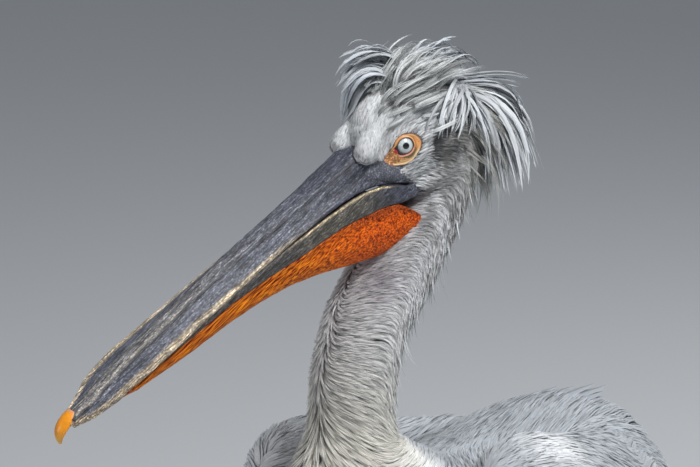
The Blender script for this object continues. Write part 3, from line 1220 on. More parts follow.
DOWN_LOCKS = (                  # soft, fuzzy feathers of the crown, brow and nape
    (-52, 8, 19, -76, 8, 34, -105, 8, 20, 7.5, 26, 2.8),
    (-66, 10, 17, -93, 10, 20, -118, 10, 4, 7.5, 28, 2.8),
    (-78, 12, 10, -104, 12, 7, -129, 12, -8, 7.5, 28, 2.8),
    (-94, 12, -2, -117, 12, -6, -140, 12, -25, 7.5, 26, 2.8),
    (-44, 12, 20, -74, 15, 19, -115, 12, -8, 5, 20, 2.4),
    (-50, 19, 12, -76, 21, 10, -112, 14, -13, 5, 20, 2.4),
    (-60, 25, 3, -82, 26, -4, -112, 16, -21, 4.5, 16, 2.2),
    (-104, 30, -70, -112.1, 28, -110, -100, 26, -153, 6, 26, 2.6),
    (-110, 22, -76, -124, 21, -125, -118, 17, -168, 7, 30, 2.6),
    (-114, 10, -80, -130, 10, -125, -127, 9, -172, 7, 30, 2.6),
    (-102, 14, -96, -110, 14, -135, -96, 12, -174, 6, 24, 2.4),
    (-114, 16, -44, -140, 20, -82, -137, 18, -135, 8, 34, 3.2),
    (-114, 12, -50, -145, 13, -95, -145, 11, -155, 8, 34, 3.2),
    (-112, 22, -56, -130, 26, -90, -122, 23, -135, 8, 30, 3),
)
GREY_LOCK = 7                   # from this row on the soft feathers are grey
REAR_LOCK = 7                   # from this row on the side locks hang behind the head, and are paler
CREST_CLEAR = 0.0022            # how far the crest stays off the skin


def crest_feathers(locks, sign=1.0, scatter=0.0036, lean=0.0):
    """Midlines, outward normals, half widths and lock numbers of the long crest feathers."""
    lines, sizes, rows = [], [], []
    share = np.linspace(0.0, 1.0, 9)[:, None]
    for row, lock in enumerate(locks):
        root, middle, tip = mirrored(np.reshape(lock[:9], (3, 3)) / 1000, sign)
        half, count, wide = lock[9] / 1000, lock[10], lock[11] / 1000
        for _ in range(count):
            start = root + RNG.normal(0.0, scatter, 3)
            reach = 1.0 - 0.24 * RNG.random() ** 1.5
            end = start + (tip - root) * reach + RNG.normal(0.0, 0.55, 3) * half
            bend = start + (middle - root) * reach * RNG.uniform(0.88, 1.06) + RNG.normal(0.0, 0.45, 3) * half
            bend = 2.0 * bend - (start + end) / 2.0
            line = start * (1 - share) ** 2 + 2 * bend * share * (1 - share) + end * share ** 2
            wave = np.sin(share * RNG.uniform(3, 7) + RNG.uniform(0, 6)) * share * RNG.uniform(0, 0.0014)
            lines.append(line + wave * unit(RNG.normal(0, 1, 3)))
            sizes.append(wide * RNG.uniform(0.75, 1.15))
            rows.append(row)
    lines = np.array(lines)
    world = head_point(lines.reshape(-1, 3))
    place, normal, _ = BODY_SKIN.nearest(world)
    clear = CREST_CLEAR * smooth(np.tile(share[:, 0] / 0.2, len(lines)))
    height = np.sum((world - place) * normal, axis=1)
    world = np.where((height < clear)[:, None], place + normal * clear[:, None], world).reshape(lines.shape)
    outward = unit((unit(lines - CREST_HEART) + (0.0, sign * lean, 0.3)) @ HEAD_AXES)
    return world, outward, np.array(sizes), np.array(rows)


def make_crest():
    """The shaggy crest: long narrow feathers springing from the crown over soft fuzzy ones."""
    long_ones = [crest_feathers(CREST_LOCKS)]
    long_ones += [crest_feathers(SIDE_LOCKS, sign, lean=0.8) for _, sign in SIDES]
    soft_ones = [crest_feathers(DOWN_LOCKS, sign, 0.007, 0.4) for _, sign in SIDES]
    made = []
    for groups, strand, core, ragged, fan in ((long_ones, 0.00032, 0.74, 0.14, 0.1),
                                              (soft_ones, 0.00028, 0.0, 0.45, 0.75)):
        lines, ups, sizes, rows = (np.concatenate(group) for group in zip(*groups))
        tint = np.tile((0.62, 0.66, 0.7), (len(lines), 1))
        if core:
            beside = np.arange(len(rows)) >= len(long_ones[0][0])
            tint[beside] = (0.74, 0.77, 0.8)
            tint[beside & (rows >= REAR_LOCK)] = (0.84, 0.87, 0.9)
        else:
            tint[:] = (0.7, 0.72, 0.72)
            tint[rows >= GREY_LOCK] = (0.6, 0.6, 0.56)
            tint[RNG.random(len(lines)) < 0.22] *= 0.35
        tint = shaded(tint * RNG.uniform(0.8, 1.08, (len(lines), 1)), 8, 0.62, 0.4)
        made.append(tufts(lines, ups, sizes, strand, 9, tint, BODY_SKIN.uv_near(lines[:, 0]), core=core,
                          ragged=ragged, fan=fan, flat=0.7, streak=0.55))
    verts, places, tints = (np.concatenate(parts) for parts in zip(*made))
    strip_piece("crest_feathers", verts, strip_faces(8), places, tints, PLUME, ("crest",))


# ---------------------------------------------------------------- flight feathers
def vanes(name, lines, ups, half, tint, at, nodes=()):
    """Broad feathers with a shaft and cambered vanes, from midlines; `at` is where the unwrap is read."""
    count, stations = lines.shape[0], lines.shape[1] - 1
    lanes = np.linspace(-1.0, 1.0, 7)
    off_shaft = np.abs(lanes)
    share = np.linspace(0.0, 1.0, stations + 1)
    outline = np.interp(share, (0, 0.12, 0.5, 0.82, 0.94, 1.0), (0.25, 0.62, 1.0, 0.86, 0.58, 0.1))
    ahead = unit(np.gradient(lines, axis=1))
    side = unit(np.cross(ups, ahead))
    up = unit(np.cross(ahead, side))[:, :, None, :]
    width = half[:, None] * outline * (1.0 + 0.1 * RNG.normal(0, 1, (count, stations + 1)) * (share > 0.4))
    across = lanes[None, None, :, None] * (width[..., None, None] * side[:, :, None, :])
    camber = (0.1 - 0.32 * lanes ** 2 - 0.1 * (1 - off_shaft) ** 6) * 0.5
    rise = camber[None, None, :, None] * (half[:, None, None, None] * up)
    shaft = (off_shaft < 0.05)[None, None, :, None] * (0.0005 * up)
    verts = lines[:, :, None, :] + across + rise + shaft
    size = len(lanes)
    pattern = [(j * size + k, j * size + k + 1, (j + 1) * size + k + 1, (j + 1) * size + k)
               for j in range(stations) for k in range(size - 1)]
    length = np.linalg.norm(lines[:, -1] - lines[:, 0], axis=1)[:, None, None]
    vane = np.stack(np.broadcast_arrays(lanes[None, None, :], share[None, :, None] * length,
                                        RNG.random(count)[:, None, None]), axis=-1)
    edge = 1.0 - 0.1 * off_shaft + 0.16 * (off_shaft > 0.9)
    colour = tint[:, None, None, :] * edge[:, None] * np.where(off_shaft < 0.05, 0.55, 1.0)[:, None]
    colour = np.broadcast_to(colour, verts.shape)
    patch = uv_patch(lanes, share)
    strip_piece(name, verts.reshape(count, -1, 3), pattern, BODY_SKIN.uv_near(at)[:, None, :] + patch, colour,
                VANE, nodes, vane=vane)


def wing_place(y, turn, sign, out):
    """A place on the folded wing: `turn` in degrees from its upper edge, over its outer side."""
    centre, across, up, half_width, half_height = wing_frame(y, sign)
    angle = radians(turn)
    side = sin(angle) * (1.0 - 0.1 * cos(angle))
    point = centre + across * (half_width + out) * side + up * (half_height + out) * cos(angle)
    return leaned(point), unit(across * sin(angle) * half_height + up * cos(angle) * half_width)


def wing_feathers(sign):
    """Midlines of the folded wing's quills and long coverts, with their normals, half widths and colours."""
    lines, ups, halves, shades = [], [], [], []
    for count, root_0, root_1, tip_0, tip_1, half, layer, shade in WING_FEATHERS:
        for i in range(count):
            t = i / max(count - 1, 1)
            root = np.array(root_0) * (1 - t) + np.array(root_1) * t
            tip = np.array(tip_0) * (1 - t) + np.array(tip_1) * t + RNG.normal(0, 1, 2) * (0.003, 1.0)
            stations = []
            for share in np.linspace(0, 1, 10):
                y, turn = root * (1 - share) + tip * share
                out = -0.003 + layer + 0.0035 * share + 0.0004 * (i % 3)
                stations.append(wing_place(min(y, 0.688), turn, sign, out))
            lines.append([point for point, _ in stations])
            ups.append([normal for _, normal in stations])
            halves.append(half * RNG.uniform(0.92, 1.08))
            shades.append(np.array(shade) * RNG.uniform(0.92, 1.06))
    return np.array(lines), unit(np.array(ups)), np.array(halves), np.array(shades)


WING_FEATHERS = (       # count, first and last root and tip as (Y, turn), half width, layer, colour
    (8, (0.4, 150), (0.46, 60), (0.64, 118), (0.686, 84), 0.012, 0.003, QUILL),
    (12, (0.1, 150), (0.42, 128), (0.26, 168), (0.6, 120), 0.015, 0.0, (0.3, 0.31, 0.33)),
    (14, (0.07, 128), (0.42, 92), (0.19, 146), (0.56, 102), 0.015, 0.0014, (0.62, 0.64, 0.66)),
)
SCAPULARS = (           # start and end across and along the back, half width, lift of the tip
    (0.0, 0.24, 0.02, 0.398, 0.0085, 0.012), (0.014, 0.236, 0.03, 0.414, 0.0085, 0.014),
    (0.026, 0.23, 0.036, 0.4, 0.009, 0.008), (0.038, 0.222, 0.046, 0.386, 0.009, 0.004),
    (0.05, 0.214, 0.06, 0.372, 0.009, 0.002), (-0.012, 0.235, -0.002, 0.39, 0.0085, 0.006),
    (-0.026, 0.23, -0.024, 0.384, 0.009, 0.006), (-0.038, 0.222, -0.04, 0.376, 0.009, 0.004),
    (-0.05, 0.214, -0.056, 0.366, 0.009, 0.002),
)
TAIL_FEATHERS, TAIL_HALF_WIDTH = 17, 0.0105     # in each of two layers; half width of one


def straight_up(lines, back):
    """Normals that point up and a little back, for midlines of the back and tail."""
    return unit(np.tile((0.0, back, 1.0), (*lines.shape[:2], 1)))


def make_flight_feathers():
    """Folded wings' quills and long coverts, the scapulars, and the tail's fan."""
    for side, sign in SIDES:
        lines, ups, half, shade = wing_feathers(sign)
        vanes("quills_" + side, lines, ups, half, shade, lines.mean(axis=1), ("primaries_" + side,))
    lines = []
    share = np.linspace(0.0, 1.0, 10)[:, None]
    for x0, y0, x1, y1, _, lift in SCAPULARS:
        over = leaned(np.hstack((x0 + (x1 - x0) * share, y0 + (y1 - y0) * share, 0.54 + 0 * share)))
        place, normal, _ = BODY_SKIN.nearest(over)
        lines.append(place + normal * (0.003 + 0.006 * share + lift * share ** 4))
    lines = np.array(lines)
    half = np.array([row[4] for row in SCAPULARS])
    tint = np.tile((0.31, 0.335, 0.365), (len(half), 1))
    vanes("scapulars", lines, straight_up(lines, 0.1), half, tint, lines[:, 0])
    lines, shades = [], []
    for layer, shade in enumerate(((0.4, 0.41, 0.43), (0.62, 0.64, 0.66))):
        for i in range(TAIL_FEATHERS):
            share = 2.0 * i / (TAIL_FEATHERS - 1) - 1.0
            line = []
            reach = 1.0 - 0.28 * layer - 0.22 * share ** 2 - 0.02 * (i % 2)
            for step in np.linspace(0.0, reach, 10):
                y, z, half_width, _ = curve_through(TAIL_ROWS, step * 4)
                x = share * half_width * 0.86
                drop = 0.012 * (x / 0.08) ** 2 - 0.004 * layer + 0.008 * abs(share)
                line.append(leaned(np.array((x, y, z - drop))))
            lines.append(line)
            shades.append(np.array(shade) * (0.86 + 0.22 * (i % 3) / 2))
    lines, half = np.array(lines), np.full(len(lines), TAIL_HALF_WIDTH)
    vanes("tail_feathers", lines, straight_up(lines, 0.35), half, np.array(shades), lines[:, 0], ("tail",))


make_crest()
make_flight_feathers()


# ---------------------------------------------------------------- eyes
IRIS_RADIUS, PUPIL_RADIUS = 0.0068, 0.0031
LID_GAP = 0.0004                # from the ball to the inside of the lids
AMBER = (0.64, 0.29, 0.1)
LID_IN = (                      # mm out from the lid's edge: relief in mm, colour above, colour below
    (-2.2, -2.6, (0.03, 0.012, 0.01), (0.03, 0.012, 0.01)),
    (-0.6, -0.8, (0.045, 0.02, 0.015), (0.1, 0.03, 0.025)),
    (0.0, 0.0, (0.05, 0.025, 0.018), (0.3, 0.1, 0.07)),
    (0.5, 0.3, (0.055, 0.025, 0.015), (0.66, 0.3, 0.2)),
    (1.0, 0.45, (0.2, 0.085, 0.035), (0.72, 0.38, 0.25)),
    (1.5, 0.4, (0.72, 0.38, 0.16), (0.45, 0.18, 0.09)),
    (2.1, -0.1, (0.52, 0.24, 0.09), (0.17, 0.085, 0.035)),
    (2.6, -0.25, (0.3, 0.13, 0.05), (0.15, 0.1, 0.04)),
    (4.2, -0.2, AMBER, (0.13, 0.095, 0.04)),
    (5.2, 0.2, AMBER, (0.52, 0.33, 0.15)),
    (9.0, 0.1, AMBER, (0.62, 0.34, 0.14)),
)
LID_OUT = (                     # mm in from the feathers: the same, and how much it tells
    (-1.2, -1.8, (0.08, 0.05, 0.03), (0.07, 0.05, 0.035), 1.0),
    (0.0, -0.3, (0.12, 0.06, 0.03), (0.09, 0.06, 0.04), 1.0),
    (0.6, 0.35, (0.42, 0.2, 0.08), (0.5, 0.33, 0.18), 1.0),
    (1.3, 0.55, (0.68, 0.34, 0.13), (0.74, 0.55, 0.33), 0.9),
    (2.2, 0.3, AMBER, (0.7, 0.48, 0.26), 0.6),
    (3.2, 0.0, AMBER, (0.4, 0.25, 0.11), 0.0),
)


def banded(table, where, column):
    """Read a column of a table of bands: a number or a colour for each place."""
    places = [row[0] for row in table]
    values = np.array([np.atleast_1d(row[column]) for row in table])
    return np.stack([np.interp(where, places, channel) for channel in values.T], -1)


def circle(count, sign):
    """Angles round a ring, in the order that turns its faces outward."""
    return 2 * pi * np.arange(count) / count * sign


def make_eyeball(side, sign, wet):
    """The ball with its painted iris."""
    rings, tints = [], []
    turn = circle(72, sign)
    for angle in np.concatenate((np.linspace(0.02, 0.66, 34), np.linspace(0.72, 2.9, 20))):
        radius, out = BALL_RADIUS * sin(angle), BALL_RADIUS * cos(angle)
        bulge = 0.0007 * max(0.0, 1.0 - (radius / 0.0072) ** 2) * (angle < 1.2)
        rings.append(from_eye(radius * np.cos(turn), radius * np.sin(turn), np.full(72, out + bulge), sign))
        fibre = noise(joined(np.cos(turn) * 9, np.sin(turn) * 9, radius * 400), 1.0, 7)
        iris = np.array((0.52, 0.57, 0.57)) * (1 + 0.16 * fibre[:, None])
        iris *= 1.0 - 0.35 * ease(radius, 0.0054, 0.0014) - 0.18 * ease(radius, 0.0038, -0.001)
        colour = blend((0.004, 0.004, 0.006), iris, ease(radius - PUPIL_RADIUS, -0.0003, 0.0005))
        white = blend((0.035, 0.018, 0.016), (0.1, 0.04, 0.035), ease(radius, 0.0085, 0.003))
        tints.append(blend(colour, white, ease(radius, IRIS_RADIUS, 0.0004) if angle < pi / 2 else 1.0))
    lofted("eyeball_" + side, rings, tints, wet, ("eye_" + side,))


def make_orbit(side, sign, lid):
    """The lids and the ringed bare skin round the eye."""
    turn = np.linspace(0, 360, 144, endpoint=False) - 180
    radial = np.radians(turn)
    opening, bare = along(OPENING, turn) * 0.001, along(BARE, turn) * 0.001
    under = ease(np.cos(np.radians(turn + 62)), 0.15, 0.45)
    rest = np.sqrt(np.maximum((BALL_RADIUS + LID_GAP) ** 2 - opening ** 2, 0.0076 ** 2))
    level = seat_level(bare) + 0.0008
    rings, tints = [], []
    for share in np.concatenate((np.linspace(-1.0, -0.1, 5), np.linspace(0.0, 1.0, 56), (1.06, 1.12))):
        reach = opening + (bare - opening) * share if share >= 0 else opening + 0.0022 * share
        inner, outer = (reach - opening) * 1000, (bare - reach) * 1000
        tells = banded(LID_OUT, outer, 4)
        relief, high, low = (
            banded(LID_IN, inner, column) * (1 - tells) + banded(LID_OUT, outer, column) * tells
            for column in (1, 2, 3))
        wrinkle = noise(joined(np.cos(radial) * 14, np.sin(radial) * 14, inner * 0.9), 1.0, 12)
        out = rest + (level - rest) * smooth(max(share, 0.0) ** 0.7)
        out = out + relief[:, 0] * 0.001 + wrinkle * 0.00012
        rings.append(from_eye(reach * np.cos(radial), reach * np.sin(radial), out, sign)[::int(sign)])
        tints.append((blend(high, low, under) * (1 + 0.16 * wrinkle[:, None]))[::int(sign)])
    lofted("orbit_" + side, rings[::-1], tints[::-1], lid)


def make_eye_corner(side, sign, wet):
    """The red flesh in the eye's front corner."""
    rings = []
    turn = circle(20, sign)
    for angle in np.linspace(0.1, pi - 0.1, 12):
        front = np.full(20, 0.01 + 0.0038 * cos(angle))
        over = 0.0002 + 0.003 * sin(angle) * np.cos(turn)
        rings.append(from_eye(front, over, 0.0066 + 0.0024 * sin(angle) * np.sin(turn), sign))
    lofted("eye_corner_" + side, rings, np.tile((0.34, 0.02, 0.028), (12, 20, 1)), wet)


# ---------------------------------------------------------------- bill, jaw and pouch
def culmen(a):
    """Height c of the bill's ridge."""
    return 0.013 * smooth(a / BILL_LENGTH / 0.55)


def tomium(a):
    """Height c of the upper mandible's cutting edge."""
    depth = 0.015 - 0.009 * ease(a / BILL_LENGTH, 0.4, 0.5) + 0.023 * exp(-max(a, 0.0) / 0.03)
    return culmen(a) - depth


def rounded(outline):
    """A closed smooth outline through a few corners, with 5 points from each to the next."""
    share = np.linspace(0, 1, 5, endpoint=False)[:, None, None]
    made = catmull_rom(*(np.roll(np.array(outline), shift, axis=0) for shift in (1, 0, -1, -2)), share)
    return made.transpose(1, 0, 2).reshape(-1, 2)


def swollen(local, relief):
    """Push rings of (a, b, c) places out from their middles by a relief in metres."""
    middle = local.mean(axis=1, keepdims=True)
    out = local - middle
    out[..., 0] = 0.0
    return local + unit(out) * relief[..., None]


def bill_piece(name, local, tints, relief, finish, nodes=(), place=None):
    """A piece of the bill from rings of (a, b, c), pushed out by a relief; far out it sways to the right."""
    if relief is not None:
        local = swollen(local, relief)
    sway = -BILL_SWAY * ease(local[..., 0], 0.1, 0.3)
    rings = head_point(local + np.multiply.outer(sway, (0.0, 1.0, 0.0)))
    lofted(name, rings, tints, finish, nodes, place=place)


def bill_outline(a):
    """The upper mandible's section: half corners, ridge half width, half width, top and cutting edge."""
    share = max(a, 0.0) / BILL_LENGTH
    width = along(BILL_WIDTH, share) + 0.0042 * smooth(-a / 0.02) - 0.007 * ease(-a, 0.022, 0.012)
    ridge = min(along(RIDGE_HALF, share), width * 0.55)
    top = culmen(max(a, 0.0)) + min(a, 0.0) * 0.25 - 0.004 * smooth(-a / 0.004)
    edge = tomium(max(a, 0.0)) + min(a, 0.0) * GAPE_SLOPE
    edge += (top - edge) * 0.42 * ease(a - BILL_END, -0.016, 0.018)
    fall = top - edge
    half = (
        (ridge * 0.5, top),
        (ridge, top - 0.0008 - 0.02 * fall),
        (ridge + 0.0022, top - 0.002 - 0.1 * fall),
        (ridge + 0.005, top - 0.0016 - 0.16 * fall),
        (width * 0.8, edge + 0.4 * fall * (1.0 - 0.45 * smooth(share / 0.4))),
        (width, edge + 0.0012),
        (width * 0.985, edge - TOMIUM_THICK * 0.6),
        (width - 0.004, edge - TOMIUM_THICK * 0.6),
        (width * 0.45, edge - 0.0005),
    )
    return half, ridge, width, top, edge


def make_upper_bill():
    """The upper mandible: rounded ridge, dark grooves beside it, sloping sides and pale cutting edges."""
    local, tints = [], []
    for a in np.concatenate((np.linspace(-0.034, -0.002, 18), np.linspace(0.0003, BILL_END, 190))):
        half, ridge, width, top, edge = bill_outline(a)
        fall = top - edge
        ring = rounded([(0.0, top), *half, (0.0, edge), *[(-b, c) for b, c in reversed(half)]])
        skew = BILL_SKEW * ease(a - BILL_END, -0.055, 0.04)
        ahead = 0.011 * ease(a - BILL_END, -0.026, 0.026) * ((top - ring[:, 1]) / fall).clip(0, 1)
        local.append(joined(a + ahead, ring[:, 0] + skew, ring[:, 1]))
        b, c = np.abs(ring[:, 0]), ring[:, 1]
        groove = hill((b - ridge, 0.002, 0.0008 + 0.0007 * ease(a, 0.16, 0.12))) * (c > edge + 0.3 * fall)
        inward = 0.87 - 0.12 * ease(a, 0.14, 0.14)
        rim = ease(b, width * inward, width * 0.1) * ease(a, 0.095, 0.06)
        rim = np.maximum(rim, (c < edge + 0.0002) * 1.0 * (b > 0.4 * width) * ease(a, 0.06, 0.1))
        rim = rim * (0.85 + 0.3 * noise(joined(a * 0.5, *ring.T), 0.0022, 37))
        slate = blend((0.06, 0.064, 0.084), (0.125, 0.13, 0.148), ease(a, 0.02, 0.16))
        blue = hill((b, (ridge + width) * 0.5, 0.2 * width))
        tints.append(painted(
            np.tile(slate, (len(ring), 1)),
            ((0.19, 0.185, 0.18), smooth((ridge - b) / 0.002) * ease(a, 0.1, 0.2) * 0.7),
            ((0.066, 0.074, 0.105), blue * 0.55 * ease(a, 0.05, 0.1)),
            ((0.36, 0.32, 0.25), ease(a, 0.17, 0.12) * hill((b, ridge, 0.0022)) * 0.55),
            ((0.02, 0.022, 0.03), groove * (0.95 - 0.2 * ease(a, 0.12, 0.1))),
            ((0.46, 0.375, 0.255), rim.clip(0, 1)),
        ))
    local, tints = np.array(local), np.array(tints)
    stretched = local * np.array((0.1, 1.0, 1.0))
    grain = noise(stretched, 0.0011, 31) * 0.6 + noise(stretched, 0.0004, 33) * 0.4
    wear = noise(local * np.array((0.25, 1.0, 1.0)), 0.003, 35)
    rise = (0.00022 * grain + 0.0004 * wear) * (1.0 - 0.85 * ease(np.abs(local[..., 1]), 0.017, 0.004))
    tints = (tints * (1.0 + 0.34 * grain + 0.34 * wear)[..., None]).clip(0.01, 1)
    bill_piece("upper_bill", local, tints, rise, BILL, ("upper_bill",), place=local)


def make_nail():
    """The hooked orange nail at the bill's tip."""
    local, tints = [], []
    angle = 2 * pi * np.arange(32) / 32
    for share in np.linspace(0.0, 1.0, 26):
        bend = radians(8 + 62 * share ** 1.5) if share > 0 else 0.0
        a = BILL_END + 0.0003 + (NAIL_LENGTH - 0.0003) * sin(share * pi / 2)
        c = culmen(BILL_END) - 0.004 - 0.015 * share ** 2.2
        b = 0.0078 * (1.0 - 0.8 * share ** 2.8) * np.sin(angle) - 0.0004
        lift = 0.0046 * (1.0 - 0.72 * share ** 3.0) * np.cos(angle) * (1.0 + 0.18 * np.cos(2 * angle))
        local.append(joined(a + lift * sin(bend), b, c + lift * cos(bend)))
        colour = painted((0.78, 0.275, 0.006),
                         ((0.74, 0.4, 0.06), ease(share, 0.45, 0.5) * 0.8),
                         ((0.62, 0.32, 0.22), ease(share, 0.07, -0.05) * 0.7))
        under = ease(-np.cos(angle), 0.2, 0.5) * 0.7
        tints.append(blend(np.tile(colour, (32, 1)), (0.45, 0.16, 0.03), under))
    local = np.array(local)
    tints = np.array(tints) * (1 + 0.12 * noise(local, 0.0022, 41)[..., None])
    bill_piece("bill_nail", local, tints, None, NAIL, ("bill_nail",), place=local)


def jaw_levels(a):
    """Top and bottom of the lower jaw's side."""
    top = tomium(max(a, 0.0)) - 0.0009 - TOMIUM_THICK * 0.6 - GAPE_SLOPE * max(0.0, -a)
    return top, top - along(RAMUS_DEPTH, a)


def make_jaw_side(side, sign):
    """One slender side of the lower mandible, with a pale upper edge."""
    local, tints = [], []
    for a in np.linspace(JAW_START, JAW_END, 170):
        out = along(RAMUS_OUT, a)
        thick = 0.0045 + 0.012 * ease(a, 0.012, -0.03) - 0.0012 * smooth(a / 0.3)
        top, low = jaw_levels(a)
        rear = smooth((-0.019 - a) / 0.011)
        out, low = out - 0.0045 * rear, low + (top - low) * 0.7 * rear
        inner, half_way = max(out - thick, -0.002), (top + low) / 2
        ring = rounded((
            (out - 0.0012, top), (out, top * 0.75 + low * 0.25), (out - 0.0002, half_way), (out - 0.001, low),
            (inner, low + 0.0006), (inner, half_way), (inner, top)))[::int(sign)]
        depth = (top - ring[:, 1]) / (top - low)
        back = a - (depth - 0.45) * 0.013 * smooth((-0.006 - a) / 0.022)
        local.append(joined(back, ring[:, 0] * sign, ring[:, 1]))
        rim = ease(depth, 0.055, -0.04) * ease(ring[:, 0] - out, -0.0024, 0.0008)
        rim = rim * ease(a, -0.012, 0.02) * (1 - ease(a, 0.09, 0.05))
        horn = blend((0.058, 0.063, 0.082), (0.105, 0.098, 0.08), ease(a, -0.004, 0.045))
        colour = painted(np.tile(horn, (len(ring), 1)),
                         ((0.06, 0.056, 0.055), ease(a, 0.085, 0.05) * 0.9),
                         ((0.16, 0.06, 0.025), ease(a, 0.22, 0.08) * 0.8))
        colour = blend(colour, colour * 0.35, (depth < 0.02) * (1.0 - rim))
        tints.append(blend(colour, (0.4, 0.32, 0.19), rim))
    local = np.array(local)
    grain = noise(local * np.array((0.3, 1.0, 1.0)), 0.0012, 51)
    wear = noise(local, 0.0035, 53)
    tints = np.array(tints) * (1 + 0.4 * grain + 0.3 * wear)[..., None]
    bill_piece("jaw_" + side, local, tints.clip(0.01, 1), 0.00015 * grain + 0.0003 * wear, BILL,
               ("lower_bill",) if sign > 0 else (), place=local)


def make_jaw_tip():
    """The short bridge where the lower mandible's sides meet."""
    local = []
    for a in np.linspace(JAW_END - 0.04, JAW_END - 0.001, 12):
        out = along(RAMUS_OUT, a) - 0.001
        top, low = jaw_levels(a)
        top -= 0.0004
        low = top - (top - low) * 0.7
        ring = rounded(((-out, (top + low) / 2), (-out * 0.8, top), (out * 0.8, top), (out, (top + low) / 2),
                        (out * 0.8, low), (-out * 0.8, low)))[::-1]
        local.append(joined(a, *ring.T))
    local = np.array(local)
    tints = np.tile((0.2, 0.16, 0.12), (*local.shape[:2], 1))
    bill_piece("jaw_tip", local, tints, None, BILL, place=local)


def make_pouch():
    """The throat pouch: pebbled orange skin, drawn into fine creases towards the tip."""
    local, tints = [], []
    angle = pi * (np.arange(84) + 0.5) / 84
    drop = np.concatenate(((0.0, 0.0), np.sin(angle) ** 0.9))
    for a in np.concatenate((np.linspace(-0.0265, 0.02, 60), np.linspace(0.021, 0.34, 200))):
        low = along(POUCH_LOW, a)
        top = min(jaw_levels(a)[1] - 0.0003, along(POUCH_TOP, a))
        rear = max(0.0, 1.0 - max(0.0, (-0.0135 - a) / 0.0133) ** 2) ** 0.5
        half = (along(RAMUS_OUT, a) - 0.001) * (0.55 + 0.45 * rear)
        middle, drawn = top * 0.42 + low * 0.58, 0.45 + 0.55 * rear
        top, low = middle + (top - middle) * drawn, middle + (low - middle) * drawn
        b = np.concatenate(((half * 0.92, -half * 0.92), -half * np.cos(angle)))
        local.append(joined(a, b, top - max(top - low, 0.002) * drop))
        red = blend((0.8, 0.088, 0.001), (0.76, 0.135, 0.004), ease(a, 0.03, 0.12))
        shade = ease(drop, 0.3, -0.28) * (0.45 + 0.4 * ease(a, 0.1, -0.1))
        tints.append(blend(np.tile(red, (len(b), 1)), (0.22, 0.028, 0.008), shade))
    local, tints = np.array(local), np.array(tints)
    a = local[..., 0]
    draw = np.interp(a, (-0.03, 0.02, 0.1, 0.2), (0.85, 0.6, 0.16, 0.05))
    stretched = local.copy()
    stretched[..., 0] = np.cumsum(np.gradient(a, axis=0) * draw, axis=0)
    pebble = noise(stretched, 0.0013, 61) * 0.6 + noise(stretched, 0.0007, 63) * 0.4
    tints = tints * (1.04 + 0.4 * pebble[..., None] * np.array((0.7, 1.1, 1.3)))
    relief = 0.00045 * pebble * ease(a, -0.03, 0.01)
    bill_piece("pouch", local, tints.clip(0.004, 1), relief, POUCH, ("pouch",), place=stretched)


def make_claws():
    """Blunt claws at the ends of the toes."""
    up = np.array((0.0, 0.0, 1.0))
    shade = np.linspace(0.055, 0.1, 10)[:, None, None] * np.ones((1, 16, 3))
    for side, sign in SIDES:
        for i, (outward, forward, height) in enumerate(TOES):
            tip = np.array((outward * sign, -forward, 0.0))
            ahead = unit(tip)
            tip += np.array((HEEL[0] * sign, HEEL[1], 0.0)) + STAND
            rings = []
            for share in np.linspace(0.0, 1.0, 10):
                size = height * 0.3 * (1.0 - 0.8 * share ** 1.4)
                centre = tip + ahead * (0.0003 + CLAW_LENGTH * share)
                centre[2] = size + 0.0003 + height * 0.06 * (1.0 - share)
                rings.append(oval(centre, np.cross(up, ahead), up, size, size, 16))
            name = f"claw_{side}_{i + 1}"
            lofted(name, rings, shade, CLAW, (name,), place=rings)


BILL = horn_finish("bill_horn", 0.5, 0.09, 0.62)
NAIL = plain_finish("nail_horn", 0.32, Coat_Weight=0.25, Coat_Roughness=0.04)
CLAW = horn_finish("claw_horn", 0.45, 1.0, 0.15)
POUCH = pouch_finish()
EYE_WET = plain_finish("wet_eye", 0.22, Coat_Weight=1.0, Coat_Roughness=0.04)
LID = plain_finish("eyelid_skin", 0.45, Coat_Roughness=0.04)
for SIDE, SIGN in SIDES:
    make_eyeball(SIDE, SIGN, EYE_WET)
    make_orbit(SIDE, SIGN, LID)
    make_eye_corner(SIDE, SIGN, EYE_WET)
make_upper_bill()
make_nail()
for SIDE, SIGN in SIDES:
    make_jaw_side(SIDE, SIGN)
make_jaw_tip()
make_pouch()
make_claws()


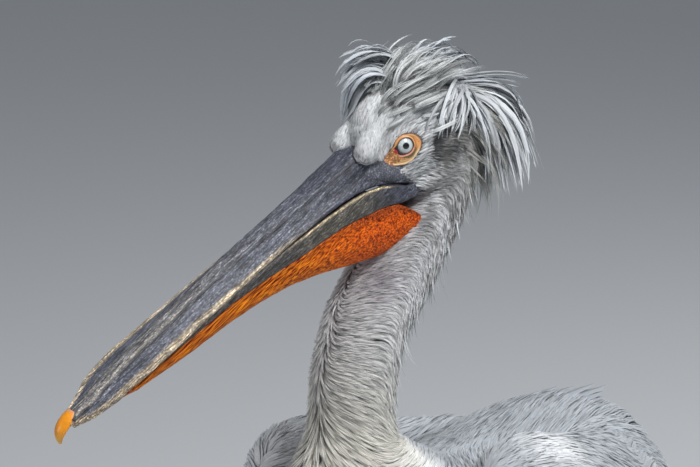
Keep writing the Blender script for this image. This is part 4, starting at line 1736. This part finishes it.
# ---------------------------------------------------------------- floor, light and camera
def lamp(name, energy, place, target, size):
    """A soft square light at a place, turned to a target."""
    light = bpy.data.lights.new(name, "AREA")
    light.energy = energy
    light.size = size
    thing = in_scene(name, light)
    thing.location = place
    thing.rotation_euler = (target - place).to_track_quat("-Z", "Y").to_euler()


def make_stage():
    """A plain pale floor, soft studio light, and the camera at the bird's left front."""
    mesh = bpy.data.meshes.new("floor")
    mesh.from_pydata([(-12, -12, 0), (12, -12, 0), (12, 12, 0), (-12, 12, 0)], [], [(0, 1, 2, 3)])
    mesh.materials.append(principled("floor_paper", 0.9, Base_Color=(0.55, 0.56, 0.57, 1.0))[2])
    floor = in_scene("floor", mesh)

    world = bpy.data.worlds.new("studio")
    world.use_nodes = True
    world.node_tree.nodes["Background"].inputs["Color"].default_value = (0.72, 0.78, 0.86, 1.0)
    world.node_tree.nodes["Background"].inputs["Strength"].default_value = 0.3
    bpy.context.scene.world = world

    middle, up = Vector(AIM), Vector((0.0, 0.0, 1.0))
    right = Vector((cos(CAMERA_AZIMUTH), sin(CAMERA_AZIMUTH), 0.0))
    back = Vector((sin(CAMERA_AZIMUTH), -cos(CAMERA_AZIMUTH), 0.0))
    lamp("key", 84.0, middle + right * 1.1 + back * 1.2 + up * 2.2, middle, 0.6)
    lamp("fill", 17.0, middle - right * 2.2 + back * 1.8 + up * 0.6, middle, 1.6)
    lamp("rim", 22.0, middle + right * 1.2 - back * 1.8 + up * 1.6, middle, 1.0)

    camera = bpy.data.cameras.new("camera")
    camera.lens, camera.sensor_width = CAMERA_LENS, 36.0
    thing = in_scene("camera", camera)
    away = back * cos(CAMERA_RISE) + up * sin(CAMERA_RISE)
    thing.location = middle + away * CAMERA_DISTANCE
    thing.rotation_euler = (-away).to_track_quat("-Z", "Y").to_euler()
    bpy.context.scene.camera = thing


AIM = np.array((-0.026, 0.028, 0.69)) + STAND
CAMERA_AZIMUTH, CAMERA_RISE = radians(34.0), radians(14.0)
CAMERA_DISTANCE, CAMERA_LENS = 5.0, 277.7
make_stage()
bpy.context.scene.view_settings.view_transform = "Standard"
